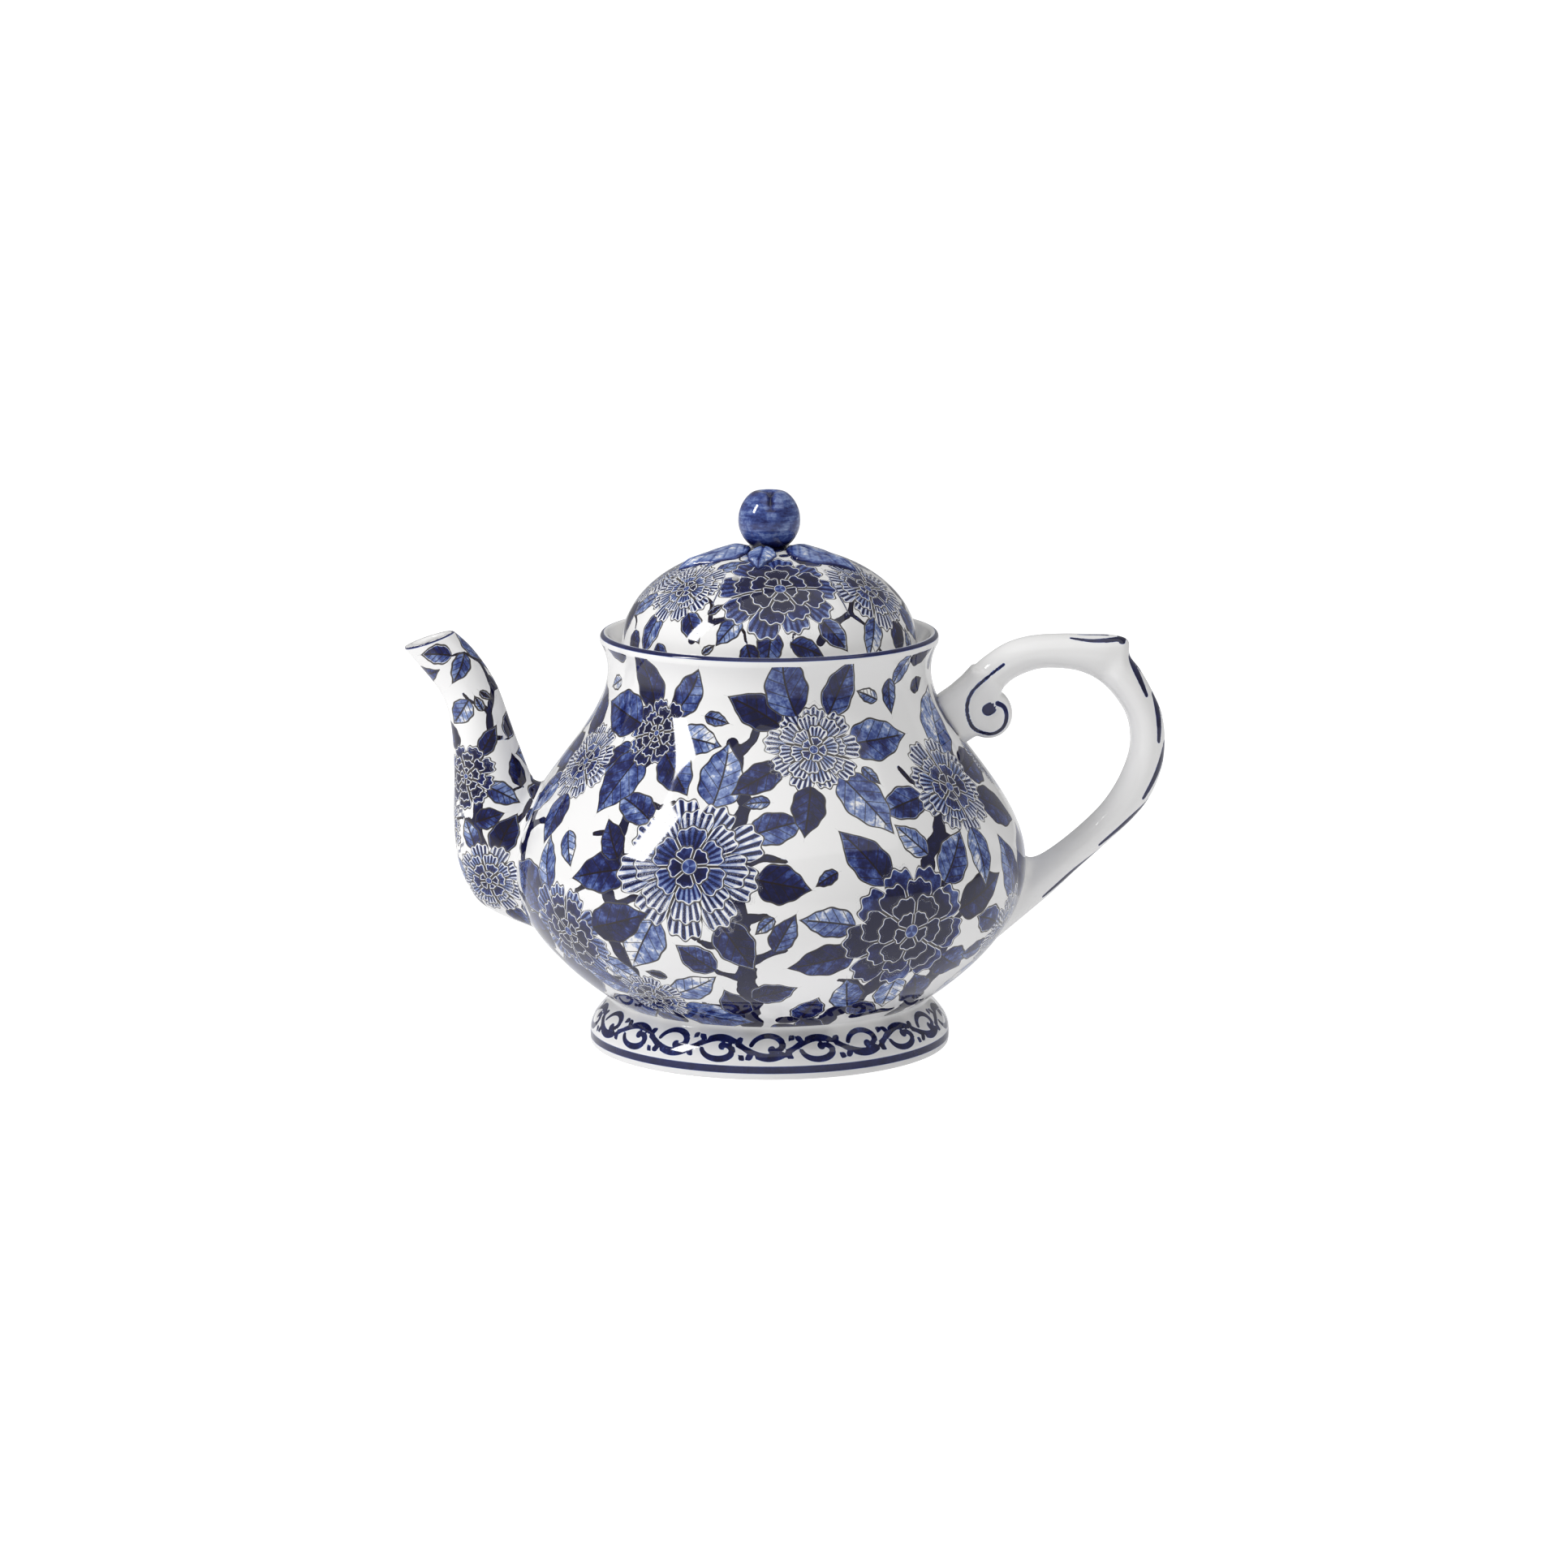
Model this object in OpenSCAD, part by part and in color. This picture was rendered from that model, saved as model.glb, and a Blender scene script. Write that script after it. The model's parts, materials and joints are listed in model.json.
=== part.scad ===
// A round-bellied teapot in white tin-glazed ware: a thrown body on a flared foot,
// a swept spout with a strainer behind it, an ear handle that ends in a scroll, and
// a domed lid with a fruit knob and moulded leaves.
// Millimetres. The origin is where the pot's axis meets the table. The spout points
// along -X and the handle along +X.

/* [Body] */
// Height of the pot's lip above the table
rim_z = 133.2; // [125:0.2:142]
// Outer diameter of the lip
rim_d = 108; // [106:0.5:111]
// Outer diameter of the neck, where it is narrowest
neck_d = 103.2; // [101:0.2:105]
// Depth of the narrowest part of the neck below the lip
neck_below_rim = 11.7; // [10:0.1:14]
// Outer diameter of the belly, where it is widest
belly_d = 164.6; // [156:0.2:174]
// Height of the widest part of the belly
belly_z = 58; // [54:0.5:62]
// Wall thickness of the body
body_wall = 4; // [3:0.1:5]
// Thickness of the body's floor
floor_thickness = 5; // [3.5:0.5:7]
// Thickness of the lip at its edge
lip_thickness = 2.8; // [2.2:0.1:3.4]

/* [Foot] */
// Outer diameter of the foot's edge
foot_d = 115.6; // [110:0.2:124]
// Height of the foot, up to the waist
foot_h = 15; // [12:0.5:18]
// Outer diameter of the waist, where the body meets the foot
waist_d = 100.8; // [96:0.2:104]
// Height of the foot's upright edge
foot_edge_h = 4; // [3:0.5:5.5]
// Radial width of the ring that the pot stands on
foot_ring_w = 6; // [4:0.5:8]

/* [Spout] */
// Wall thickness of the spout
spout_wall = 3; // [2.2:0.1:3.6]
// Height of the middle of the spout's root on the belly
spout_root_z = 60.4; // [57:0.2:63]
// Height of the spout's root
spout_root_h = 47; // [43:0.5:50]
// Width of the spout's root
spout_root_w = 33; // [28:0.5:36]
// How far the middle of the mouth stands out from the belly at the root
spout_reach = 26.4; // [24:0.2:32]
// How far the middle of the mouth stands above the middle of the root
spout_rise = 70.2; // [66:0.2:74]
// Outer size of the mouth, from its lower lip to its upper lip
mouth_h = 16.6; // [15:0.2:19]
// Outer width of the mouth
mouth_w = 15.8; // [14:0.2:18]

/* [Strainer] */
// Diameter of the pierced plate that fills the opening behind the spout
strainer_d = 26; // [24.4:0.2:27]
// Diameter of the strainer's holes
strainer_hole_d = 3.2; // [2.4:0.1:3.4]
// Distance between the strainer's rings of holes
strainer_pitch = 5; // [4.4:0.1:5.2]

/* [Handle] */
// How far the strap's middle stands out from the line between its two ends
handle_reach = 45; // [40:0.5:52]
// How far the grip rises above that line
handle_rise = 32.5; // [28:0.5:36]
// Thickness of the strap, seen from the side
strap_thickness = 11.3; // [9:0.1:13]
// Width of the strap across the grip
handle_w = 13; // [10:0.5:16]
// Height of the middle of the handle's lower root
handle_root_z = 46; // [43:0.5:49]
// Height of the handle's lower root
handle_root_h = 27; // [24:0.5:30]
// Width of the handle's lower root
handle_root_w = 18; // [15:0.5:20]
// Depth of the scroll's middle below the lip
scroll_below_rim = 26.4; // [24:0.2:29]
// How far the scroll's middle stands out from the neck
scroll_stand = 13.4; // [12:0.2:15]
// Diameter of the scroll at the handle's upper end
scroll_d = 15.6; // [14:0.2:17]
// How far below the scroll's middle its underside leaves the neck
scroll_foot = 9.6; // [8.6:0.1:11]
// How far above the scroll's middle its upper side leaves the neck
scroll_head = 5.2; // [4:0.1:6.5]
// How far above the scroll's middle the strap joins it
strap_seat = 11; // [10:0.1:12.5]
// Width of the scroll across the strap
scroll_w = 13; // [10:0.5:15]

/* [Lid] */
// Outer diameter of the lid
lid_d = 94.6; // [92:0.2:96]
// Height of the lid's dome above its seat
dome_h = 32.2; // [28:0.2:36]
// How full the dome's curve is, where 2 is a plain ellipse
dome_fullness = 2.08; // [2:0.02:2.3]
// Wall thickness of the lid
lid_wall = 3.6; // [2.8:0.1:4.4]
// Depth of the lid's seat below the lip
seat_below_rim = 5.2; // [4:0.1:7]
// Gap around the lid's edge, at its seat in the neck
lid_edge_gap = 1.2; // [0.8:0.1:1.8]
// Outer diameter of the flange under the lid
flange_d = 83; // [80:0.2:84]
// Depth of the flange below the seat
flange_depth = 11.5; // [8:0.5:14]
// Wall thickness of the flange
flange_wall = 3.4; // [2.6:0.1:4.2]
// Clearance between the flange and the seat's ledge, on each side
flange_clearance = 0.9; // [0.6:0.1:1.4]
// Thickness of the ledge that carries the lid
ledge_thickness = 4; // [3:0.5:5]
// Diameter of the steam vent
vent_d = 3; // [2:0.1:4]
// Distance of the steam vent from the lid's middle
vent_r = 28.5; // [27:0.5:34]

/* [Knob and leaves] */
// Diameter of the fruit
knob_d = 19.8; // [17:0.2:23]
// Height of the fruit
knob_h = 17.7; // [15:0.1:20]
// Diameter of the flat under the fruit
knob_base_d = 11; // [9:0.5:13]
// Depth of the dimple on the fruit
dimple_depth = 2; // [1:0.1:3]
// Thickness of a moulded leaf along its middle
leaf_thickness = 2.2; // [1.6:0.1:3]
// Length of the two leaves at the sides
side_leaf_length = 22.5; // [18:0.5:26]
// Width of the two leaves at the sides
side_leaf_width = 20; // [14:0.5:21]
// Length of the leaves at the front and back
short_leaf_length = 16.5; // [13:0.5:20]
// Width of the leaves at the front and back
short_leaf_width = 10; // [7:0.5:10.5]

/* [Fits] */
// Gap left at each clay joint between two pieces
joint_gap = 0.15; // [0.1:0.05:0.3]
// Gap under the lid where it rests on its seat
rest_gap = 0.2; // [0.1:0.05:0.4]

/* [Hidden] */

white_glaze = [0.93, 0.93, 0.94];
washed_blue = [0.27, 0.38, 0.68];

curve_steps = 16;        // points along each half of the belly's curve
round_sides = 180;       // sides that a turned piece is drawn with
spout_sides = 28;
strap_sides = 20;
station_steps = 3;       // rings drawn between two stations
slope_step = 0.05;       // height difference that a slope is measured over
shoulder_power = 1.1;    // holds the shoulder full before it falls to the neck
foot_r = foot_d / 2;
waist_r = waist_d / 2;
belly_r = belly_d / 2;
neck_r = neck_d / 2;
neck_z = rim_z - neck_below_rim;
rim_r = rim_d / 2;
lid_r = lid_d / 2;
seat_z = rim_z - seat_below_rim;
lid_z = seat_z + rest_gap;
ledge_r = flange_d / 2 + flange_clearance;
apex_z = lid_z + dome_h;

// ---------- curves ----------

function smooth_share(t) = t * t * (3 - 2 * t);
function clamped(t) = min(max(t, 0), 1);

// Outer radius of the body at height z.
function body_r(z) =
    z < belly_z ?
        belly_r - (belly_r - waist_r) * pow((belly_z - z) / (belly_z - foot_h), 2) :
    z < neck_z ?
        belly_r - (belly_r - neck_r)
            * smooth_share(pow((z - belly_z) / (neck_z - belly_z), shoulder_power)) :
        neck_r + (rim_r - neck_r) * pow(clamped((z - neck_z) / (rim_z - lip_thickness - neck_z)), 2);

function body_slope(z) =
    (body_r(z + slope_step) - body_r(z - slope_step)) / (2 * slope_step);

// Radius of the body's inside, square to the wall.
function inner_r(z) = body_r(z) - body_wall * sqrt(1 + pow(body_slope(z), 2));

// Distance along X from the axis to the body's skin, at y and z.
function skin_x(y, z) = sqrt(pow(body_r(z), 2) - y * y) + joint_gap;

function dome_top(r) =
    lid_z + dome_h * pow(1 - pow(r / lid_r, dome_fullness), 1 / dome_fullness);

function spline(p, i, t) =
    let (a = p[max(i - 1, 0)], b = p[i], c = p[i + 1], d = p[min(i + 2, len(p) - 1)])
    0.5 * (2 * b + (c - a) * t + (2 * a - 5 * b + 4 * c - d) * t * t
        + (3 * b - a - 3 * c + d) * t * t * t);

function curve_through(p, steps) = [
    for (i = [0 : len(p) - 2], k = [0 : steps - 1]) spline(p, i, k / steps),
    p[len(p) - 1]
];

function arc(centre, r, from, to, steps) = [
    for (i = [0 : steps])
        centre + r * [cos(from + (to - from) * i / steps), sin(from + (to - from) * i / steps)]
];

// ---------- skins between rings of points ----------

function band(first, second, n) = [
    for (k = [0 : n - 1]) each [
        [first + k, second + k, second + (k + 1) % n],
        [first + k, second + (k + 1) % n, first + (k + 1) % n]
    ]
];

// A tube whose walls are one closed run of rings.
module looped_skin(rings) {
    n = len(rings[0]);
    count = len(rings);
    polyhedron(
        points = [for (ring = rings) each ring],
        faces = [for (i = [0 : count - 1]) each band(i * n, ((i + 1) % count) * n, n)]);
}

// A solid between rings, closed by a fan round a middle point at each end.
module capped_skin(rings, first_middle, last_middle) {
    n = len(rings[0]);
    count = len(rings);
    last = (count - 1) * n;
    polyhedron(
        points = concat([for (ring = rings) each ring], [first_middle, last_middle]),
        faces = concat(
            [for (i = [0 : count - 2]) each band(i * n, (i + 1) * n, n)],
            [for (k = [0 : n - 1]) [count * n, k, (k + 1) % n]],
            [for (k = [0 : n - 1]) [count * n + 1, last + (k + 1) % n, last + k]]));
}

// An oval ring square to the XZ plane round a middle, turned up from +X. h is its size
// in that plane, w its width along Y, and inset takes it in by a wall's thickness.
function oval_ring(middle, tilt, h, w, inset, sides) = [
    for (k = [0 : sides - 1])
        let (
            turn = 360 * k / sides,
            reach = (h / 2 - inset) * cos(turn),
            p = middle + reach * [cos(tilt), sin(tilt)]
        )
        [p[0], (w / 2 - inset) * sin(turn), p[1]]
];

// An oval ring laid on the body's skin. side is -1 at the spout and 1 at the handle.
function skin_ring(z, h, w, inset, sides, side) = [
    for (k = [0 : sides - 1])
        let (
            turn = 360 * k / sides,
            y = (w / 2 - inset) * sin(turn),
            up = z - side * (h / 2 - inset) * cos(turn)
        )
        [side * skin_x(y, up), y, up]
];

// ---------- body ----------

module body_profile() {
    lip_r = lip_thickness / 2;
    lip_centre = [rim_r - lip_r, rim_z - lip_r];
    floor_z = foot_h + floor_thickness;
    under_ledge_z = seat_z - ledge_thickness;
    ledge_foot_z = under_ledge_z - (inner_r(neck_z) - ledge_r);
    polygon(concat(
        [[0, foot_h]],
        [for (i = [0 : curve_steps])
            let (z = foot_h + (belly_z - foot_h) * i / curve_steps) [body_r(z), z]],
        [for (i = [1 : curve_steps])
            let (z = belly_z + (neck_z - belly_z) * i / curve_steps) [body_r(z), z]],
        [for (i = [1 : 6])
            let (z = neck_z + (rim_z - lip_thickness - neck_z) * i / 6) [body_r(z), z]],
        arc(lip_centre, lip_r, 0, 180, 10),
        [[lid_r + lid_edge_gap, seat_z], [ledge_r, seat_z], [ledge_r, under_ledge_z]],
        [for (i = [0 : curve_steps])
            let (z = ledge_foot_z + (floor_z + 1 - ledge_foot_z) * i / curve_steps)
            [inner_r(z), z]],
        [[inner_r(floor_z + 1) - 2, floor_z], [0, floor_z]]));
}

// A bore through the belly's wall behind the spout, off its middle by y and z.
module wall_bore(d, y, z) {
    translate([-belly_r - body_wall, y, spout_root_z + z])
        rotate([0, 90, 0])
            cylinder(d = d, h = 6 * body_wall, $fn = 48);
}

module body() {
    color(white_glaze)
        difference() {
            rotate_extrude($fn = round_sides) body_profile();
            wall_bore(strainer_d + 2 * joint_gap, 0, 0);
        }
}

// ---------- strainer ----------

strainer_rings = 2;      // rings of holes round the middle one

// A round of the belly's own wall, pierced by rings of six and twelve holes.
module strainer() {
    color(white_glaze)
        difference() {
            intersection() {
                rotate_extrude($fn = round_sides) body_profile();
                wall_bore(strainer_d, 0, 0);
            }
            wall_bore(strainer_hole_d, 0, 0);
            for (ring = [1 : strainer_rings], k = [1 : 6 * ring]) {
                turn = 60 * k / ring;
                wall_bore(strainer_hole_d, ring * strainer_pitch * cos(turn),
                    ring * strainer_pitch * sin(turn));
            }
        }
}

// ---------- foot ----------

// The foot flares from the waist like a bell, and is open underneath.
module foot() {
    edge_round = 1;
    steps = 14;
    top_z = foot_h - joint_gap;
    ring_r = foot_r - foot_ring_w;
    flare = foot_r - waist_r;
    color(white_glaze)
        rotate_extrude($fn = round_sides)
            polygon(concat(
                [for (i = [0 : steps])
                    [waist_r + flare * sin(90 * i / steps),
                        top_z - (top_z - foot_edge_h) * i / steps]],
                arc([foot_r - edge_round, edge_round], edge_round, 0, -90, 4),
                [[ring_r, 0]],
                [for (i = [1 : steps])
                    [ring_r - flare * smooth_share(i / steps), top_z * i / steps]]));
}

// ---------- spout ----------

// Stations along the spout, from the root to the pouring mouth: how far out and how
// far up the section's middle is, as shares of the reach and the rise, the section's
// tilt, and how much of the root's extra height and width is left there.
spout_stations = [
    [0.02, 0.05, 70, 0.92, 0.86],
    [0.15, 0.105, 59, 0.8, 0.78],
    [0.222, 0.18, 47, 0.625, 0.68],
    [0.255, 0.281, 30, 0.387, 0.52],
    [0.289, 0.43, 11, 0.195, 0.33],
    [0.383, 0.611, 8, 0.07, 0.16],
    [0.491, 0.75, 15, 0.03, 0.1],
    [0.647, 0.85, 22, 0.015, 0.07],
    [0.822, 0.931, 23, 0.015, 0.03],
    [1, 1, 18, 0, 0]
];

function spout_ring(s, inset) =
    oval_ring(
        [-skin_x(0, spout_root_z) - s[0] * spout_reach, spout_root_z + s[1] * spout_rise],
        s[2],
        mouth_h + s[3] * (spout_root_h - mouth_h),
        mouth_w + s[4] * (spout_root_w - mouth_w),
        inset, spout_sides);

function spout_rings(inset) = concat(
    [skin_ring(spout_root_z, spout_root_h, spout_root_w, inset, spout_sides, -1)],
    [for (s = curve_through(spout_stations, station_steps)) spout_ring(s, inset)]);

module spout() {
    outside = spout_rings(0);
    inside = spout_rings(spout_wall);
    count = len(inside);
    color(white_glaze)
        looped_skin(concat(outside, [for (i = [1 : count]) inside[count - i]]));
}

// ---------- handle ----------

// Stations along the strap, from the scroll to the lower root: how far out and how far
// up the section's middle is from the line between the strap's ends, as shares of the
// reach and the rise, the section's tilt, and its thickness and width as shares of the
// strap's. The spur that the thumb rests on is where the thickness swells.
strap_stations = [
    [0, 0, 148, 1.07, 0.98],
    [0.08, 0.23, 139, 1.02, 0.96],
    [0.19, 0.445, 126, 1.03, 0.95],
    [0.313, 0.615, 111, 0.99, 0.95],
    [0.457, 0.743, 88, 0.98, 0.97],
    [0.607, 0.85, 68, 1.1, 0.99],
    [0.73, 0.94, 58, 1.32, 0.96],
    [0.813, 1, 54, 1.42, 0.86],
    [0.843, 0.998, 58, 1.13, 0.98],
    [0.901, 0.988, 54, 1.08, 1],
    [0.96, 0.935, 38, 0.98, 1],
    [0.996, 0.873, 21, 0.99, 1],
    [1, 0.777, 7, 1, 1],
    [0.964, 0.66, -11, 1.04, 1],
    [0.876, 0.521, -24, 1.04, 1.02],
    [0.746, 0.413, -31, 0.95, 1.05],
    [0.575, 0.313, -42, 0.88, 1.1],
    [0.377, 0.202, -58, 0.92, 1.16],
    [0.2, 0.127, -77, 1.18, 1.24]
];

scroll_z = rim_z - scroll_below_rim;
scroll_x = skin_x(0, scroll_z) + scroll_stand;
strap_top = [scroll_x - 0.6, scroll_z + strap_seat];
strap_root = [skin_x(0, handle_root_z), handle_root_z];

function strap_middle(s, along) =
    strap_top + (strap_root - strap_top) * along + [s[0] * handle_reach, s[1] * handle_rise];

module handle() {
    stations = curve_through(strap_stations, station_steps);
    lines = len(stations);
    seat = [for (share = [1, 0.75, 0.5, 0.25])
        skin_ring(handle_root_z, share * handle_root_h, share * handle_root_w, 0,
            strap_sides, 1)];
    color(white_glaze)
        capped_skin(
            concat(
                [for (i = [0 : lines - 1])
                    let (s = stations[i])
                    oval_ring(
                        strap_middle(s, i / (lines - 1 + station_steps)), s[2],
                        s[3] * strap_thickness, s[4] * handle_w, 0, strap_sides)],
                seat),
            [strap_top[0], 0, strap_top[1]],
            [strap_root[0], 0, strap_root[1]]);
}

// ---------- scroll ----------

scroll_layers = 8;
seat_steps = 6;

// One slice of the scroll at y, taken in by inset at its rolled edge: along the neck,
// up to the strap, across the joint, and round the roll.
function scroll_slice(y, inset) =
    let (
        tilt = strap_stations[0][2],
        half = strap_stations[0][3] * strap_thickness / 2,
        across = [cos(tilt), sin(tilt)],
        seat = strap_top - joint_gap * [sin(tilt), -cos(tilt)],
        outer = seat + across * (half - inset),
        inner = seat - across * (half - inset),
        low = scroll_z - scroll_foot + inset,
        high = scroll_z + scroll_head - inset,
        r = scroll_d / 2 - inset
    )
    concat(
        [for (i = [0 : seat_steps])
            let (z = low + (high - low) * i / seat_steps) [skin_x(y, z), y, z]],
        [for (i = [1 : 3])
            let (p = [skin_x(y, high), high] + (outer - [skin_x(y, high), high]) * i / 3
                + [-1, 1] * -1.4 * sin(60 * i))
            [p[0], y, p[1]]],
        [for (p = [outer, inner]) [p[0], y, p[1]]],
        [for (i = [0 : 16])
            let (turn = 62 - 180 * i / 16)
            [scroll_x + r * cos(turn), y, scroll_z + r * sin(turn)]]);

// How far the scroll's edge is taken in, at layer i across its width.
function roll_inset(i) =
    let (across = 2 * i / scroll_layers - 1) 2.6 * (1 - sqrt(1 - pow(across, 4) * 0.98));

module handle_scroll() {
    slices = [
        for (i = [0 : scroll_layers])
            scroll_slice(scroll_w * (0.5 - i / scroll_layers), roll_inset(i))
    ];
    color(white_glaze)
        capped_skin(slices,
            [scroll_x - 3, scroll_w / 2, scroll_z], [scroll_x - 3, -scroll_w / 2, scroll_z]);
}

// ---------- lid ----------

module lid_profile() {
    steps = 36;
    inner = lid_r - lid_wall;
    inner_h = dome_h - lid_wall;
    flange_r = flange_d / 2;
    flange_inner = flange_r - flange_wall;
    shelf_z = lid_z + lid_wall;
    polygon(concat(
        [for (i = [0 : steps])
            let (turn = 90 * i / steps)
            [lid_r * pow(cos(turn), 2 / dome_fullness),
                lid_z + dome_h * pow(sin(turn), 2 / dome_fullness)]],
        [for (i = [0 : steps])
            let (turn = 90 - 80 * i / steps)
            [inner * pow(cos(turn), 2 / dome_fullness),
                lid_z + inner_h * pow(sin(turn), 2 / dome_fullness)]],
        [[flange_inner + 1, shelf_z], [flange_inner, shelf_z - 1]],
        [[flange_inner, lid_z - flange_depth + 1], [flange_inner + 1, lid_z - flange_depth]],
        [[flange_r - 1, lid_z - flange_depth], [flange_r, lid_z - flange_depth + 1]],
        [[flange_r, lid_z]]));
}

vent_azimuth = 249;
vent_tilt = atan((dome_top(vent_r - slope_step) - dome_top(vent_r + slope_step)) / (2 * slope_step));

module lid() {
    color(white_glaze)
        difference() {
            rotate_extrude($fn = round_sides) lid_profile();
            rotate([0, 0, vent_azimuth])
                translate([vent_r, 0, dome_top(vent_r)])
                    rotate([0, vent_tilt, 0])
                        translate([0, 0, -3 * lid_wall])
                            cylinder(d = vent_d, h = 4 * lid_wall, $fn = 24);
        }
}

// ---------- knob ----------

dimple_r = 3.2;          // how wide the dimple spreads

module knob() {
    steps = 30;
    base_r = knob_base_d / 2;
    start = -acos(base_r / (knob_d / 2));
    low = apex_z + joint_gap;
    half_low = knob_h * 0.47;
    half_high = knob_h - half_low;
    turns = [for (i = [0 : steps]) start + (90 - start) * i / steps];
    dimple = [for (t = turns) t < 0 ? 0
        : dimple_depth * exp(-pow(knob_d / 2 * cos(t) / dimple_r, 2))];
    full = [for (i = [0 : steps]) max(0, half_high * sin(turns[i])) - dimple[i]];
    color(washed_blue)
        rotate_extrude($fn = 60)
            polygon(concat(
                [[0, low]],
                [for (i = [0 : steps])
                    let (t = turns[i], rise = t < 0 ? -half_low * sin(t) / sin(start)
                        : full[i] * half_high / max(full))
                    [knob_d / 2 * cos(t) * (i < steps ? 1 : 0), low + half_low + rise]]));
}

// ---------- leaves ----------

leaf_start_r = knob_base_d / 2 + 1.3;   // where a leaf leaves the knob's foot
leaf_rows = 12;
leaf_columns = 8;

// Share of a leaf's width at share s of its length: rounded near the fruit, then a point.
function leaf_share(s) = pow(sin(180 * pow(s, 0.8)), 0.8) * (1 - 0.25 * s) + 0.02;

// A point of a leaf's face: s along it, t across it, and lift above the dome. The leaf
// bends aside by bend at its tip.
function leaf_point(length, width, bend, s, t, lift) =
    let (
        x = leaf_start_r + length * s,
        y = bend * s * s + t * width / 2 * leaf_share(s),
        r = norm([x, y])
    )
    [x, y, dome_top(r) + joint_gap + lift];

function leaf_lift(s, t) =
    leaf_thickness * (1 - 0.55 * t * t) * (0.75 + 0.25 * cos(360 * s))
        * min(1, 0.35 + 4 * min(s, 1 - s));

// A moulded leaf lies on the dome, thickest along its midrib.
module leaf(length, width, azimuth, bend) {
    columns = leaf_columns + 1;
    per_face = (leaf_rows + 1) * columns;
    top = [for (i = [0 : leaf_rows], k = [0 : leaf_columns])
        let (s = i / leaf_rows, t = 2 * k / leaf_columns - 1)
        leaf_point(length, width, bend, s, t, leaf_lift(s, t))];
    under = [for (i = [0 : leaf_rows], k = [0 : leaf_columns])
        leaf_point(length, width, bend, i / leaf_rows, 2 * k / leaf_columns - 1, 0)];
    grid = [for (i = [0 : leaf_rows - 1], k = [0 : leaf_columns - 1])
        [i * columns + k, (i + 1) * columns + k, (i + 1) * columns + k + 1, i * columns + k + 1]];
    border = concat(
        [for (k = [0 : leaf_columns - 1]) k],
        [for (i = [0 : leaf_rows - 1]) i * columns + leaf_columns],
        [for (k = [0 : leaf_columns - 1]) leaf_rows * columns + leaf_columns - k],
        [for (i = [0 : leaf_rows - 1]) (leaf_rows - i) * columns]);
    edge = len(border);
    color(washed_blue)
        rotate([0, 0, azimuth])
            polyhedron(
                points = concat(top, under),
                faces = concat(
                    [for (q = grid) each [[q[0], q[2], q[1]], [q[0], q[3], q[2]]]],
                    [for (q = grid) each [
                        [per_face + q[0], per_face + q[1], per_face + q[2]],
                        [per_face + q[0], per_face + q[2], per_face + q[3]]]],
                    [for (k = [0 : edge - 1])
                        let (a = border[k], b = border[(k + 1) % edge])
                        each [[a, per_face + b, b], [a, per_face + a, per_face + b]]]));
}

module leaf_left() leaf(side_leaf_length, side_leaf_width, 202, -4);
module leaf_right() leaf(side_leaf_length, side_leaf_width, 333, 3);
module leaf_front() leaf(short_leaf_length, short_leaf_width, 259, 1);
module leaf_back() leaf(short_leaf_length, short_leaf_width, 88, -1);

body();
strainer();
foot();
spout();
handle();
handle_scroll();
lid();
knob();
leaf_left();
leaf_right();
leaf_front();
leaf_back();
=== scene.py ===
import json
from math import cos, exp, hypot, pi, radians, sin, sqrt

import bmesh
import bpy
import numpy as np
from mathutils import Matrix, Vector
from mathutils.kdtree import KDTree

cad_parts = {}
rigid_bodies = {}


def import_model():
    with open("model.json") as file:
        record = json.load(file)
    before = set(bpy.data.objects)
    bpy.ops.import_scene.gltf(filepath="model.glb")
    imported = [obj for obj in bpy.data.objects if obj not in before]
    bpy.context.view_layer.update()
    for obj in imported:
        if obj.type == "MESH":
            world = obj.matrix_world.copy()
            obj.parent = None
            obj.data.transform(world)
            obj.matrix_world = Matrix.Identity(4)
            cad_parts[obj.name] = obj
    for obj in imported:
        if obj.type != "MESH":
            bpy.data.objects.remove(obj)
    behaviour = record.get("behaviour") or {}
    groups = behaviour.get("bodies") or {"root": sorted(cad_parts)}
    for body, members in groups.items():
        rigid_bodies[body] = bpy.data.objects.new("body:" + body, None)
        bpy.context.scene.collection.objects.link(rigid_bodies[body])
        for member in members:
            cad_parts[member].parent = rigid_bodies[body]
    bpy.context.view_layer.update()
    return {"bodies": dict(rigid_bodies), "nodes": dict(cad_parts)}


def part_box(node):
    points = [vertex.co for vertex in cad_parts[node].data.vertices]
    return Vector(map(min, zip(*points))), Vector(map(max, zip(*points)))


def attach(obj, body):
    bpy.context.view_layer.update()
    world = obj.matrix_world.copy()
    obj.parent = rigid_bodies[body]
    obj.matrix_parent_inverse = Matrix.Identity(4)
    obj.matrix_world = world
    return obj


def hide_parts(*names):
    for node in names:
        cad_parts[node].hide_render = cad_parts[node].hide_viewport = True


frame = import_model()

bl_info = {
    "name": "Painted Teapot",
    "version": (1, 0, 0),
    "blender": (4, 5, 0),
    "location": "View3D > Sidebar > Teapot",
    "description": "Models a blue and white teapot on its frame, painted under its glaze",
    "category": "Object",
}

MM = 0.001               # the scene's metres in a millimetre
BOXES = {name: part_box(name) for name in frame["nodes"]}


# ---------------------------------------------------------------- sizes and colours

def corner(node, end, axis):
    """A coordinate of a node's box in mm. End is 0 for its low side and 1 for its high one."""
    return BOXES[node][end][axis] / MM


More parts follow.
